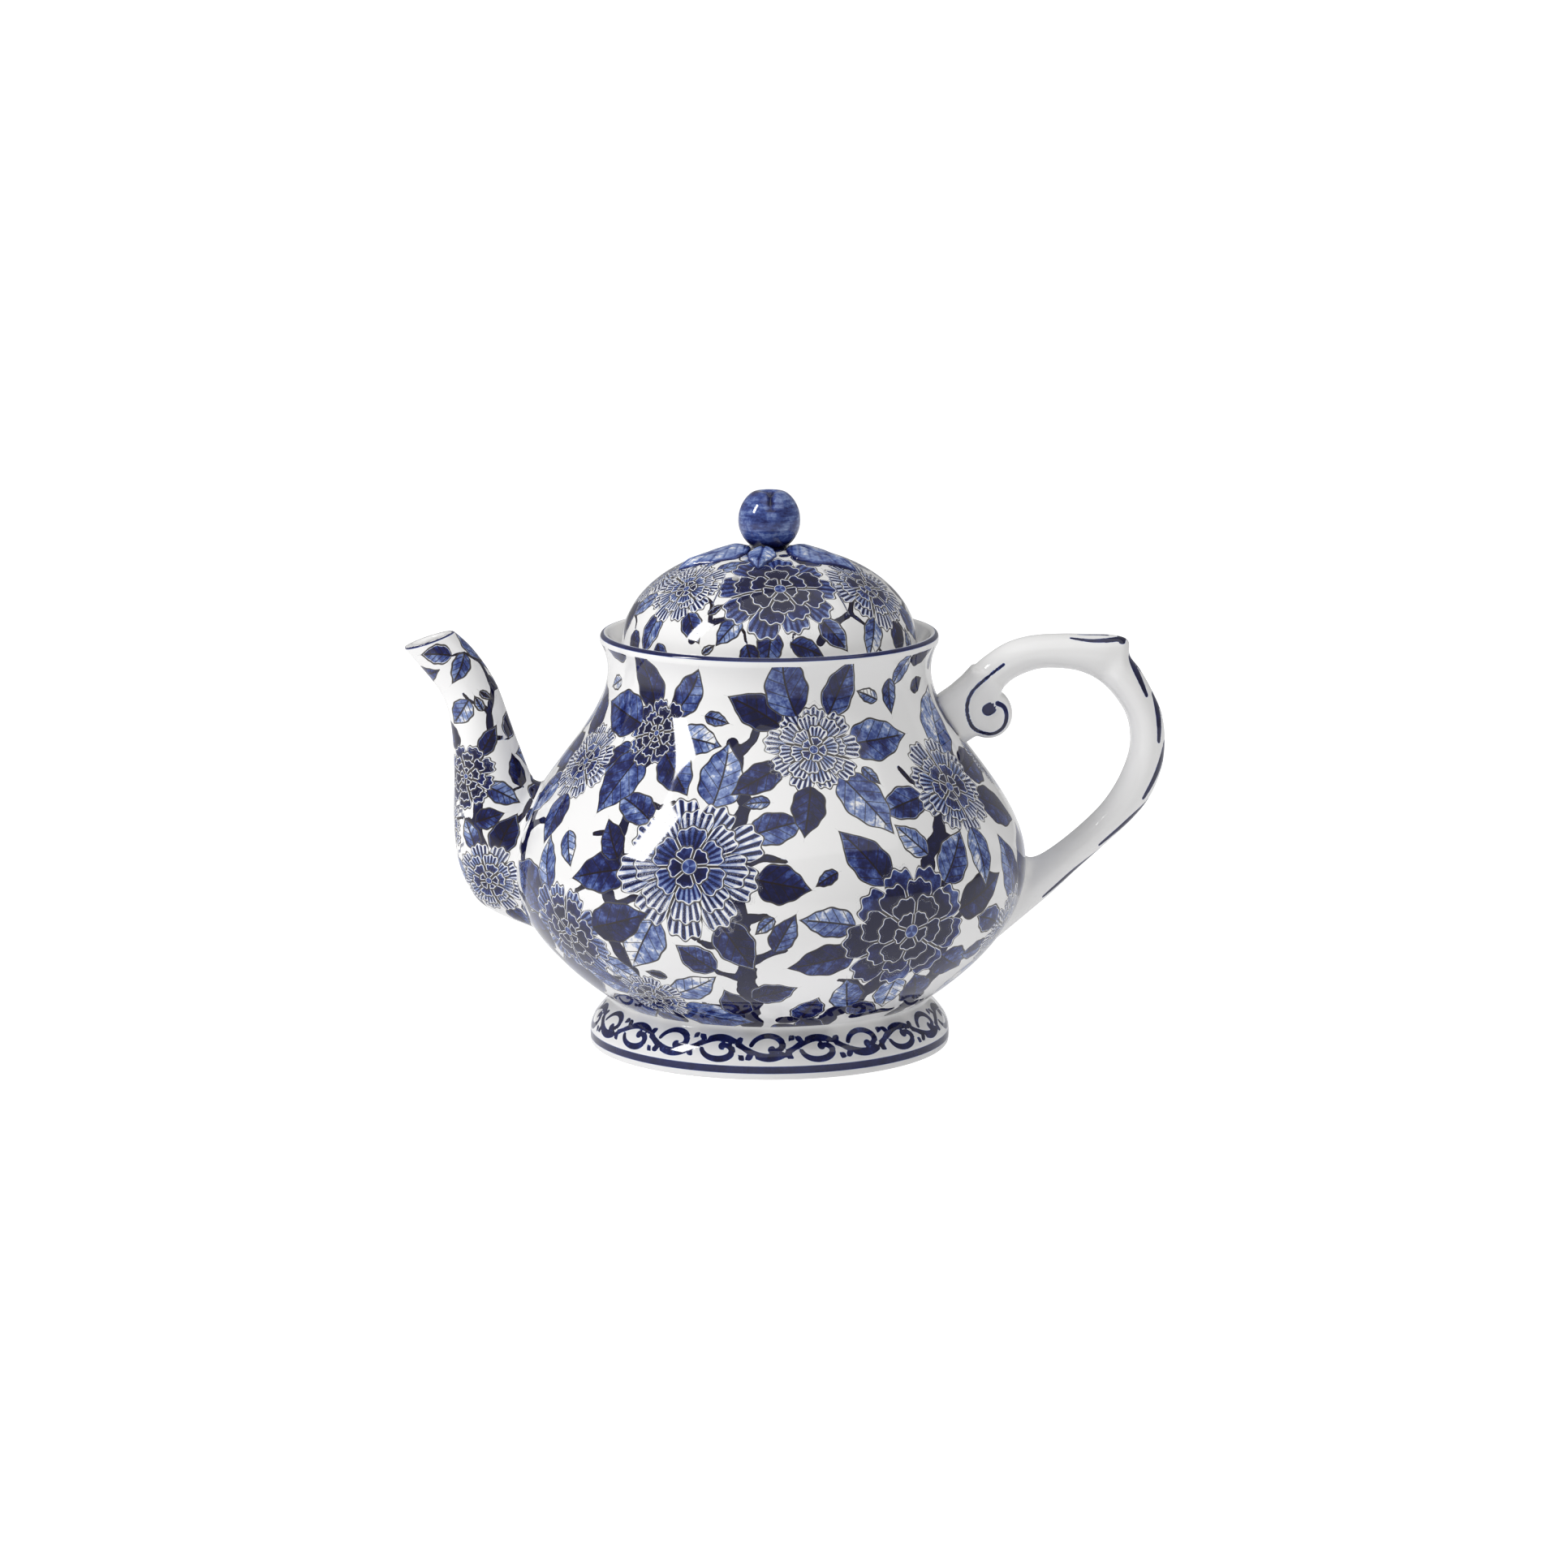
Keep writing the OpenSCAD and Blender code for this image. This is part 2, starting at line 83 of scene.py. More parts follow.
class TeapotForm(bpy.types.PropertyGroup):
    """The forms of the pot, in metres."""

    rim_height: bpy.props.FloatProperty(
        name="Rim height", description="Height of the pot's lip above the table",
        default=corner("body", 1, 2) * MM, unit="LENGTH")
    rim_diameter: bpy.props.FloatProperty(
        name="Rim diameter", description="Outer diameter of the lip", default=0.108, unit="LENGTH")
    neck_diameter: bpy.props.FloatProperty(
        name="Neck diameter", description="Outer diameter of the narrowest part of the neck",
        default=0.1032, unit="LENGTH")
    belly_diameter: bpy.props.FloatProperty(
        name="Belly diameter", description="Outer diameter of the belly",
        default=2 * BOXES["body"][1][0], unit="LENGTH")
    belly_height: bpy.props.FloatProperty(
        name="Belly height", description="Height of the belly's widest part",
        default=0.058, unit="LENGTH")
    waist_diameter: bpy.props.FloatProperty(
        name="Waist diameter", description="Outer diameter where the body meets the foot",
        default=0.1008, unit="LENGTH")
    waist_height: bpy.props.FloatProperty(
        name="Waist height", description="Height where the body meets the foot",
        default=BOXES["body"][0][2], unit="LENGTH")
    foot_diameter: bpy.props.FloatProperty(
        name="Foot diameter", description="Outer diameter of the foot",
        default=2 * BOXES["foot"][1][0], unit="LENGTH")
    wall: bpy.props.FloatProperty(
        name="Wall", description="Thickness of the body's wall", default=0.004, unit="LENGTH")


class TeapotPaint(bpy.types.PropertyGroup):
    """The glaze and the blues painted under it."""

    glaze: bpy.props.FloatVectorProperty(
        name="Glaze", description="White of the bare glaze", default=(0.86, 0.855, 0.85),
        subtype="COLOR", size=3, min=0, max=1)
    pale_blue: bpy.props.FloatVectorProperty(
        name="Pale blue", description="Thinnest wash", default=(0.23, 0.31, 0.56),
        subtype="COLOR", size=3, min=0, max=1)
    mid_blue: bpy.props.FloatVectorProperty(
        name="Mid blue", description="Ordinary wash", default=(0.048, 0.080, 0.27),
        subtype="COLOR", size=3, min=0, max=1)
    deep_blue: bpy.props.FloatVectorProperty(
        name="Deep blue", description="Full cobalt", default=(0.011, 0.015, 0.098),
        subtype="COLOR", size=3, min=0, max=1)
    blackened_blue: bpy.props.FloatVectorProperty(
        name="Blackened blue", description="Cobalt where it pools", default=(0.005, 0.005, 0.034),
        subtype="COLOR", size=3, min=0, max=1)
    line: bpy.props.FloatVectorProperty(
        name="Line", description="Brown of the drawn outlines", default=(0.012, 0.006, 0.007),
        subtype="COLOR", size=3, min=0, max=1)
    gloss: bpy.props.FloatProperty(
        name="Gloss", description="Roughness of the fired glaze", default=0.05,
        subtype="FACTOR", min=0, max=1)
    seed: bpy.props.IntProperty(
        name="Seed", description="Chooses where the loose leaves fall", default=7, min=0)


class TeapotStage(bpy.types.PropertyGroup):
    """The camera, the lights and the floor."""

    lens: bpy.props.FloatProperty(
        name="Lens", description="Focal length on a 36 mm sensor, in millimetres", default=130.65)
    distance: bpy.props.FloatProperty(
        name="Distance", description="From the camera to its aim", default=1.823, unit="LENGTH")
    elevation: bpy.props.FloatProperty(
        name="Elevation", description="Angle the camera looks down by", default=radians(10.72),
        subtype="ANGLE")
    aim_x: bpy.props.FloatProperty(
        name="Aim across", description="How far right of the axis the camera aims",
        default=0.00468, unit="LENGTH")
    aim_z: bpy.props.FloatProperty(
        name="Aim height", description="Height the camera aims at", default=0.08358, unit="LENGTH")
    key: bpy.props.FloatProperty(
        name="Key", description="Power of the tall softbox on the left", default=4.2, min=0)
    fill: bpy.props.FloatProperty(
        name="Fill", description="Power of the softbox overhead", default=10, min=0)
    surround: bpy.props.FloatProperty(
        name="Surround", description="Strength of the white room's light", default=0.36, min=0)
    floor_glow: bpy.props.FloatProperty(
        name="Floor glow", description="Light that the floor gives back, as a lit cove does",
        default=0.3, min=0)
    floor_white: bpy.props.FloatProperty(
        name="Floor white", description="What lifts the floor to white in view", default=0.75,
        min=0)
    backdrop: bpy.props.FloatProperty(
        name="Backdrop", description="Brightness of the white backdrop in view", default=1.2, min=0)


def form():
    return bpy.context.scene.teapot_form


def paint():
    return bpy.context.scene.teapot_paint


# ---------------------------------------------------------------- curves, in millimetres

NECK_BELOW_RIM = 11.7
LIP_THICKNESS = 2.8
SHOULDER_POWER = 1.1     # holds the shoulder full before it falls to the neck
SEAT_BELOW_RIM = 5.2
REST_GAP = 0.2           # between the lid and its ledge
DOME_FULLNESS = 2.08     # 2 is a plain ellipse
CURVE_STEPS = 1200       # that a smooth curve is walked in


def smooth_share(t):
    return t * t * (3 - 2 * t)


def body_radius(z):
    """Outer radius of the body at a height."""
    f = form()
    belly_z, belly_r = f.belly_height / MM, f.belly_diameter / 2 / MM
    waist_z, waist_r = f.waist_height / MM, f.waist_diameter / 2 / MM
    rim_z, rim_r = f.rim_height / MM, f.rim_diameter / 2 / MM
    neck_z, neck_r = rim_z - NECK_BELOW_RIM, f.neck_diameter / 2 / MM
    if z < belly_z:
        return belly_r - (belly_r - waist_r) * ((belly_z - z) / (belly_z - waist_z)) ** 2
    if z < neck_z:
        drop = ((z - belly_z) / (neck_z - belly_z)) ** SHOULDER_POWER
        return belly_r - (belly_r - neck_r) * smooth_share(drop)
    flare = (z - neck_z) / (rim_z - LIP_THICKNESS - neck_z)
    return neck_r + (rim_r - neck_r) * min(flare, 1) ** 2


def inner_radius(z):
    """Radius of the body's inside, square to the wall."""
    step = 0.05
    slope = (body_radius(z + step) - body_radius(z - step)) / (2 * step)
    return body_radius(z) - form().wall / MM * hypot(1, slope)


def skin_x(y, z):
    """Distance along X from the axis to the body's skin."""
    return sqrt(body_radius(z) ** 2 - y * y)


def spline(p, position):
    """A point of the smooth curve through a row of equal-length tuples."""
    i = min(int(position), len(p) - 2)
    t = position - i
    a, b, c, d = (p[max(i - 1, 0)], p[i], p[i + 1], p[min(i + 2, len(p) - 1)])
    return tuple(
        0.5 * (2 * b[k] + (c[k] - a[k]) * t + (2 * a[k] - 5 * b[k] + 4 * c[k] - d[k]) * t * t
               + (3 * b[k] - a[k] - 3 * c[k] + d[k]) * t ** 3)
        for k in range(len(b)))


def even_curve(points, spacing):
    """Points along the smooth curve through some points, about a spacing apart."""
    last = len(points) - 1
    fine = [spline(points, i * last / CURVE_STEPS) for i in range(CURVE_STEPS + 1)]
    kept, walked = [fine[0]], 0.0
    for before, after in zip(fine, fine[1:]):
        walked += sqrt(sum((a - b) ** 2 for a, b in zip(before[:2], after[:2])))
        if walked >= spacing:
            kept.append(after)
            walked = 0.0
    return kept + [fine[-1]]


def eased(rows, passes):
    """Rows of numbers, smoothed along their length with the ends held."""
    table = np.array(rows, float)
    for _ in range(passes):
        table[1:-1] = (table[:-2] + 2 * table[1:-1] + table[2:]) / 4
    return table


def arc(centre, radius, start, end, steps):
    """Points round a centre, from one angle to another in degrees."""
    turns = [radians(start + (end - start) * i / steps) for i in range(steps + 1)]
    return [(centre[0] + radius * cos(t), centre[1] + radius * sin(t)) for t in turns]


# ---------------------------------------------------------------- meshes, in millimetres

SECTORS = 10             # a spun piece is made as this many like sectors, which is far quicker
WELD = 0.01              # points nearer than this become one
DRILL_SIDES = 32


def turned(bm, profile, steps, closed=False):
    """Spins a profile of radii and heights round the axis, and closes its poles."""
    verts = [bm.verts.new((r, 0, z)) for r, z in profile]
    edges = [bm.edges.new(pair) for pair in zip(verts, verts[1:])]
    if closed:
        edges.append(bm.edges.new((verts[-1], verts[0])))
    turn = dict(cent=(0, 0, 0), axis=(0, 0, 1), dvec=(0, 0, 0))
    bmesh.ops.spin(
        bm, geom=verts + edges, angle=2 * pi / SECTORS, steps=steps // SECTORS,
        use_merge=False, use_duplicate=False, **turn)
    bmesh.ops.spin(
        bm, geom=bm.verts[:] + bm.edges[:] + bm.faces[:], angle=2 * pi * (1 - 1 / SECTORS),
        steps=SECTORS - 1, use_merge=False, use_duplicate=True, **turn)
    bmesh.ops.remove_doubles(bm, verts=bm.verts, dist=WELD)


def swept(bm, rings, closed=False):
    """Extrudes a circle through rings of points, which hold as many points as it does."""
    order = bm.verts.layers.int.get("ring_order") or bm.verts.layers.int.new("ring_order")
    ring = bmesh.ops.create_circle(bm, segments=len(rings[0]), radius=1)["verts"]
    for k, vert in enumerate(ring):
        vert[order] = k
    edges = list({edge for vert in ring for edge in vert.link_edges})
    first = edges
    for row, points in enumerate(rings):
        if row:
            made = bmesh.ops.extrude_edge_only(bm, edges=edges)["geom"]
            ring = [g for g in made if isinstance(g, bmesh.types.BMVert)]
            inside = set(ring)
            edges = [g for g in made if isinstance(g, bmesh.types.BMEdge)
                     and g.verts[0] in inside and g.verts[1] in inside]
        for vert in ring:
            vert.co = points[vert[order]]
    if closed:
        bmesh.ops.bridge_loops(bm, edges=first + edges)
    else:
        bmesh.ops.edgeloop_fill(bm, edges=first)
        bmesh.ops.edgeloop_fill(bm, edges=edges)


def filled_in(rings, rows):
    """More rings, on the smooth curves through the given ones."""
    last = len(rings) - 1
    return [
        [spline([ring[k] for ring in rings], last * row / rows) for k in range(len(rings[0]))]
        for row in range(rows + 1)]


def oval_ring(middle, tilt, height, width, sides):
    """An oval square to the XZ plane round a middle, turned up from +X."""
    c, s = cos(radians(tilt)), sin(radians(tilt))
    ring = []
    for k in range(sides):
        turn = 2 * pi * k / sides
        reach = height / 2 * cos(turn)
        ring.append((middle[0] + reach * c, width / 2 * sin(turn), middle[1] + reach * s))
    return ring


def skin_ring(z, height, width, lift, side, sides):
    """An oval laid on the body's skin, lifted off it. Side is -1 at the spout, 1 at the handle."""
    ring = []
    for k in range(sides):
        turn = 2 * pi * k / sides
        y, up = width / 2 * sin(turn), z - side * height / 2 * cos(turn)
        ring.append((side * (skin_x(y, up) + lift), y, up))
    return ring


def mesh_of(bm, name):
    """Ends a bmesh as a mesh."""
    mesh = bpy.data.meshes.new(name)
    bm.to_mesh(mesh)
    bm.free()
    return mesh


def in_scene(name, data):
    """An object of a mesh, light or camera, linked to the scene."""
    made = bpy.data.objects.new(name, data)
    bpy.context.scene.collection.objects.link(made)
    return made


def finished(bm, name, body, nodes):
    """Makes a piece of a mesh in millimetres and ties it to the frame."""
    bmesh.ops.recalc_face_normals(bm, faces=bm.faces)
    bmesh.ops.scale(bm, vec=(MM, MM, MM), verts=bm.verts)
    mesh = mesh_of(bm, name)
    mesh.shade_smooth()
    piece = in_scene(name, mesh)
    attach(piece, body)
    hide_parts(*nodes)
    return piece


def applied(piece):
    """Puts the result of a piece's modifiers into its mesh."""
    bpy.context.view_layer.update()
    shaped = piece.evaluated_get(bpy.context.evaluated_depsgraph_get())
    mesh = bpy.data.meshes.new_from_object(shaped)
    piece.modifiers.clear()
    piece.data = mesh
    mesh.shade_smooth()


def pierced(piece, bores):
    """Cuts round holes through a piece. Each bore is a start, an end and a diameter, in mm."""
    bm = bmesh.new()
    for start, end, diameter in bores:
        start, end = Vector(start) * MM, Vector(end) * MM
        along, radius = end - start, diameter * MM / 2
        turn = along.to_track_quat("Z", "Y").to_matrix().to_4x4()
        bmesh.ops.create_cone(
            bm, cap_ends=True, segments=DRILL_SIDES, radius1=radius, radius2=radius,
            depth=along.length, matrix=Matrix.Translation((start + end) / 2) @ turn)
    mesh = mesh_of(bm, "drill")
    drill = in_scene("drill", mesh)
    cut = piece.modifiers.new("Drill", "BOOLEAN")
    cut.operation, cut.solver, cut.object = "DIFFERENCE", "EXACT", drill
    applied(piece)
    bpy.data.objects.remove(drill)
    bpy.data.meshes.remove(mesh)


def mesh_points(mesh):
    """A mesh's points in millimetres and its normals."""
    points, normals = np.empty(len(mesh.vertices) * 3), np.empty(len(mesh.vertices) * 3)
    mesh.vertices.foreach_get("co", points)
    mesh.vertices.foreach_get("normal", normals)
    return points.reshape(-1, 3) / MM, normals.reshape(-1, 3)


def sink(mesh, points, normals, depths):
    """Presses each point into the skin by its own depth, in millimetres."""
    shaped = (points - normals * depths[:, None]) * MM
    mesh.vertices.foreach_set("co", shaped.astype(np.float32).ravel())


def keep_values(mesh, name, values):
    """Stores a number or a vector for each point of a mesh."""
    kind, field = ("FLOAT", "value") if values.ndim == 1 else ("FLOAT_VECTOR", "vector")
    mesh.attributes.new(name, kind, "POINT").data.foreach_set(
        field, np.ascontiguousarray(values, dtype=np.float32).ravel())


# ---------------------------------------------------------------- painting, in millimetres

LEAF_LAYERS = ("leaf_1", "leaf_2", "leaf_3")
FAR = -50.0              # how far a bare point is outside what is painted
GUARD = 1.6              # bare skin between two leaves of one layer
SEEDS = 50               # leaves and flowers get a seed between 0 and this
STEM_STEP = 0.5
STEM_GAP = 5             # a branch ends where it comes this near to another


def unit(v):
    return v / np.linalg.norm(v)


def turned_heading(heading, normal, degrees_left):
    """A heading on the skin, turned to the left round the skin's normal."""
    a = radians(degrees_left)
    return unit(heading * cos(a) + np.cross(normal, heading) * sin(a))


class Canvas:
    """The skin of a piece, what is painted on it, and what is left bare."""

    def __init__(self, piece, outside, seed):
        self.mesh = piece.data
        self.points, self.normals = mesh_points(self.mesh)
        self.outside = outside(self.points, self.normals)
        self.skin = np.flatnonzero(self.outside)
        self.skin_points, self.skin_normals = self.points[self.skin], self.normals[self.skin]
        self.near = KDTree(len(self.skin))
        for i in self.skin:
            self.near.insert(self.points[i], int(i))
        self.near.balance()
        self.rng = np.random.default_rng(seed)
        count = len(self.points)
        self.taken = np.full(count, FAR)
        self.stem_points = []
        self.sprouts = []
        self.layers = {
            name: (np.tile((0.0, 0.0, FAR), (count, 1)), np.zeros((count, 3)))
            for name in ("flower",) + LEAF_LAYERS}

    def touch(self, point):
        """The skin's point and normal nearest to a point."""
        _, i, _ = self.near.find(point)
        normal = self.normals[i]
        offset = np.asarray(point) - self.points[i]
        return np.asarray(point) - normal * offset.dot(normal), normal

    def chart(self, centre, heading, limit):
        """Points near a centre: which they are, how far along a heading, across it, and away."""
        spot, normal = self.touch(centre)
        along = unit(heading - normal * heading.dot(normal))
        across = np.cross(normal, along)
        close = np.flatnonzero(np.abs(self.skin_points[:, 2] - spot[2]) < limit)
        offset = self.skin_points[close] - spot
        away = np.einsum("ij,ij->i", offset, offset)
        kept = (away < limit * limit) & (self.skin_normals[close] @ normal > 0)
        offset, away, which = offset[kept], np.sqrt(away[kept]), self.skin[close[kept]]
        a, b = offset @ along, offset @ across
        stretch = away / np.maximum(np.hypot(a, b), 1e-6)
        return which, a * stretch, b * stretch, away

    def lay(self, layer, which, a, b, mask, kind):
        """Gives points their place in a leaf or flower, unless another one is nearer."""
        place, kinds = self.layers[layer]
        better = mask > place[which, 2]
        at = which[better]
        place[at] = np.column_stack((a[better], b[better], mask[better]))
        kinds[at] = kind

    def flower(self, centre, radius, tone, turn=0.0):
        """A rosette round a centre."""
        spot, normal = self.touch(centre)
        heading = turned_heading(unit(np.cross(normal, (0.31, 0.17, 0.93))), normal, turn)
        which, a, b, away = self.chart(centre, heading, radius * 2)
        kind = (radius, self.rng.uniform(0, SEEDS), tone)
        self.lay("flower", which, a, b, radius * 1.12 - away, kind)
        self.taken[which] = np.maximum(self.taken[which], radius * 0.93 - away)
        return spot, normal

    def leaf(self, base, heading, length, width, overlap=0.2):
        """A leaf that grows from a base, if enough bare skin is left for it there."""
        which, a, b, _ = self.chart(base, heading, length * 1.3)
        sag = self.rng.uniform(-0.16, 0.16)
        b = b - sag * a * a / length
        belly = width / 2 * np.sqrt(np.clip(np.sin(pi * np.clip(a / length, 0, 1)), 0, 1))
        inside = (a > 0) & (a < length) & (np.abs(b) < belly)
        if inside.sum() < 12 or a.max() < length * 0.95:
            return False
        if (self.taken[which[inside]] > 0).mean() > overlap:
            return False
        mask = np.minimum.reduce((a + 1.2, length + 1.2 - a, width / 2 + 1.2 - np.abs(b)))
        for layer in LEAF_LAYERS:
            place = self.layers[layer][0]
            if (place[which[mask > -GUARD], 2] < 0).all():
                kind = (length, width / 2, self.rng.uniform(0, SEEDS))
                self.lay(layer, which, a, b, mask, kind)
                self.taken[which] = np.maximum(self.taken[which], np.where(inside, 1.0, FAR))
                return True
        return False

    def stem(self, start, heading, length, half, twigs=True):
        """A branch that zigzags over the skin and puts out twigs."""
        spot, normal = self.touch(start)
        others = np.array([p[:3] for p in self.stem_points]) if self.stem_points else None
        walked, side = 0.0, self.rng.choice((-1, 1))
        to_kink = self.rng.uniform(5, 9)
        while walked < length:
            ahead = spot + heading * STEM_STEP
            spot, normal = self.touch(ahead)
            if np.linalg.norm(spot - ahead) > 1.5:
                break
            heading = unit(heading - normal * heading.dot(normal))
            if others is not None and walked > 8:
                if np.sqrt(((others - spot) ** 2).sum(1)).min() < STEM_GAP:
                    break
            thick = half * (1 - 0.55 * walked / length) * (1 + 0.12 * sin(walked * 0.9))
            self.stem_points.append((*spot, thick))
            walked += STEM_STEP
            to_kink -= STEM_STEP
            if to_kink < 0:
                self.sprouts.append((spot, turned_heading(heading, normal, side * 55)))
                self.sprouts.append((spot, turned_heading(heading, normal, -side * 70)))
                if twigs and self.rng.random() < 0.75:
                    off = turned_heading(heading, normal, side * self.rng.uniform(45, 70))
                    self.stem(spot, off, self.rng.uniform(9, 19), max(half * 0.45, 0.75),
                              twigs=False)
                side = -side
                to_kink = self.rng.uniform(6, 11) if twigs else self.rng.uniform(4, 7)
                heading = turned_heading(heading, normal, side * self.rng.uniform(18, 42))
        self.sprouts.append((spot, heading))

    def leaves_on_stems(self, smallest, largest):
        """Leaves on the twigs, where there is room."""
        for i in self.rng.permutation(len(self.sprouts)):
            spot, heading = self.sprouts[i]
            normal = self.touch(spot)[1]
            for _ in range(5):
                length = self.rng.uniform(smallest, largest)
                way = turned_heading(heading, normal, self.rng.uniform(-35, 35))
                if self.leaf(spot, way, length, length * self.rng.uniform(0.56, 0.78)):
                    break

    def leaves_round(self, centre, radius, count, size):
        """Leaves that look out from under a flower."""
        spot, normal = self.touch(centre)
        start = unit(np.cross(normal, (0.2, 0.9, 0.4)))
        for i in range(count):
            way = turned_heading(start, normal, 360 * i / count + self.rng.uniform(-14, 14))
            length = size * self.rng.uniform(0.8, 1.15)
            for shrink in (1, 0.8, 0.62):
                base = spot + way * (radius - 0.18 * length)
                width = length * shrink * self.rng.uniform(0.55, 0.75)
                if self.leaf(base, way, length * shrink, width, 0.45):
                    break

    def loose_leaves(self, tries, smallest, largest):
        """Leaves in the bare places that are left."""
        order = np.lexsort(self.skin_points.T)     # a cut leaves the points in no fixed order
        for i in self.rng.choice(self.skin[order], tries):
            if self.taken[i] > -0.5:
                continue
            heading = turned_heading(unit(np.cross(self.normals[i], (0.5, 0.3, 0.8))),
                                     self.normals[i], self.rng.uniform(0, 360))
            for length in np.linspace(largest, smallest, 3) * self.rng.uniform(0.85, 1.0):
                if self.leaf(self.points[i], heading, length, length * 0.58, 0.08):
                    break

    def line_field(self, lines):
        """How far each point lies inside the nearest line. Each line point holds its half-width."""
        inside = np.full(len(self.points), FAR)
        if not lines:
            return inside
        tree = KDTree(len(lines))
        for i, p in enumerate(lines):
            tree.insert(p[:3], i)
        tree.balance()
        for i in np.flatnonzero(self.outside):
            _, nearest, away = tree.find(self.points[i])
            inside[i] = lines[nearest][3] - away
        return inside

    def mark_stems(self):
        """Stems are laid before leaves, so that leaves may cover them a little."""
        self.stem_field = self.line_field(self.stem_points)

    def store(self, border):
        """Writes everything that is painted into the mesh."""
        keep_values(self.mesh, "stem", self.stem_field)
        keep_values(self.mesh, "border", border)
        for name, (place, kind) in self.layers.items():
            keep_values(self.mesh, name + "_place", place)
            keep_values(self.mesh, name + "_kind", kind)


# ---------------------------------------------------------------- shader building

class Field:
    """A number that varies over a surface, so that a shader's sums can be written plainly."""

    def __init__(self, tree, socket):
        self.tree, self.socket = tree, socket

    def maths(self, operation, *others, clamp=False):
        return maths(self.tree, operation, self, *others, clamp=clamp)

    def __add__(self, other):
        return self.maths("ADD", other)

    def __sub__(self, other):
        return self.maths("SUBTRACT", other)

    def __rsub__(self, other):
        return maths(self.tree, "SUBTRACT", other, self)

    def __mul__(self, other):
        return self.maths("MULTIPLY", other)

    def __truediv__(self, other):
        return self.maths("DIVIDE", other)

    __radd__ = __add__
    __rmul__ = __mul__

    def size(self):
        return self.maths("ABSOLUTE")

    def whole(self):
        return self.maths("FLOOR")

    def part(self):
        return self.maths("FRACT")

    def lesser(self, other):
        return self.maths("MINIMUM", other)

    def greater(self, other):
        return self.maths("MAXIMUM", other)

    def clamped(self):
        return self.maths("ADD", 0.0, clamp=True)

    def shown(self, softness=0.12):
        """0 where the number is below nought and 1 where it is above, with a soft step."""
        return maths(self.tree, "MULTIPLY_ADD", self, 1 / softness, 0.5, clamp=True)


def node(tree, kind):
    made = tree.nodes.new(kind)
    count = len(tree.nodes)
    made.location = (count // 12 * 190, -(count % 12) * 170)
    return made


def feed(tree, value, socket):
    if isinstance(value, Field):
        tree.links.new(value.socket, socket)
    else:
        socket.default_value = value


def maths(tree, operation, *values, clamp=False):
    made = node(tree, "ShaderNodeMath")
    made.operation, made.use_clamp = operation, clamp
    for value, socket in zip(values, made.inputs):
        feed(tree, value, socket)
    return Field(tree, made.outputs[0])


def blended(tree, first, second, share):
    made = node(tree, "ShaderNodeMix")
    made.data_type = "FLOAT"
    for value, i in ((share, 0), (first, 2), (second, 3)):
        feed(tree, value, made.inputs[i])
    return Field(tree, made.outputs[0])


def stored(tree, name):
    """A value kept in the piece's mesh: three fields of a vector."""
    source = node(tree, "ShaderNodeAttribute")
    source.attribute_name = name
    split = node(tree, "ShaderNodeSeparateXYZ")
    tree.links.new(source.outputs["Vector"], split.inputs[0])
    return [Field(tree, socket) for socket in split.outputs]


def stored_number(tree, name):
    source = node(tree, "ShaderNodeAttribute")
    source.attribute_name = name
    return Field(tree, source.outputs["Fac"])


def noise(tree, vector, scale, detail=2.0, roughness=0.5):
    made = node(tree, "ShaderNodeTexNoise")
    made.inputs["Scale"].default_value = scale
    made.inputs["Detail"].default_value = detail
    made.inputs["Roughness"].default_value = roughness
    tree.links.new(vector, made.inputs["Vector"])
    return Field(tree, made.outputs["Fac"])


LAYER = ("Ink", "Line", "Cover")     # what a painted layer puts out
BARE = {"Ink": 0.0, "Line": 0.0}     # glaze with nothing painted on it


def shared_group(name, inputs, outputs, build):
    """A node group with number sockets, built when it is first asked for. What builds it gets
    the tree and its inputs as fields, and gives its outputs by name."""
    if name in bpy.data.node_groups:
        return bpy.data.node_groups[name]
    tree = bpy.data.node_groups.new(name, "ShaderNodeTree")
    for way, labels in (("INPUT", inputs), ("OUTPUT", outputs)):
        for label in labels:
            tree.interface.new_socket(label, in_out=way, socket_type="NodeSocketFloat")
    entry, leave = node(tree, "NodeGroupInput"), node(tree, "NodeGroupOutput")
    results = build(tree, *[Field(tree, entry.outputs[label]) for label in inputs])
    for label in outputs:
        tree.links.new(results[label].socket, leave.inputs[label])
    return tree


def placed(tree, group, **values):
    """Places a group in a tree, feeds its inputs, and gives its outputs by name."""
    made = node(tree, "ShaderNodeGroup")
    made.node_tree = group
    for label, value in values.items():
        feed(tree, value, made.inputs[label.replace("_", " ")])
    return {socket.name: Field(tree, socket) for socket in made.outputs}


def laid_over(tree, below, above):
    """Lays one painted layer over another: each has Ink, Line and Cover."""
    cover = above["Cover"]
    return {name: blended(tree, below[name], above[name], cover) for name in ("Ink", "Line")}


# A leaf's half-width along its length, as shares of both.
LEAF_OUTLINE = ((0.05, 0.4), (0.22, 0.9), (0.42, 1.0), (0.66, 0.78), (0.86, 0.3))


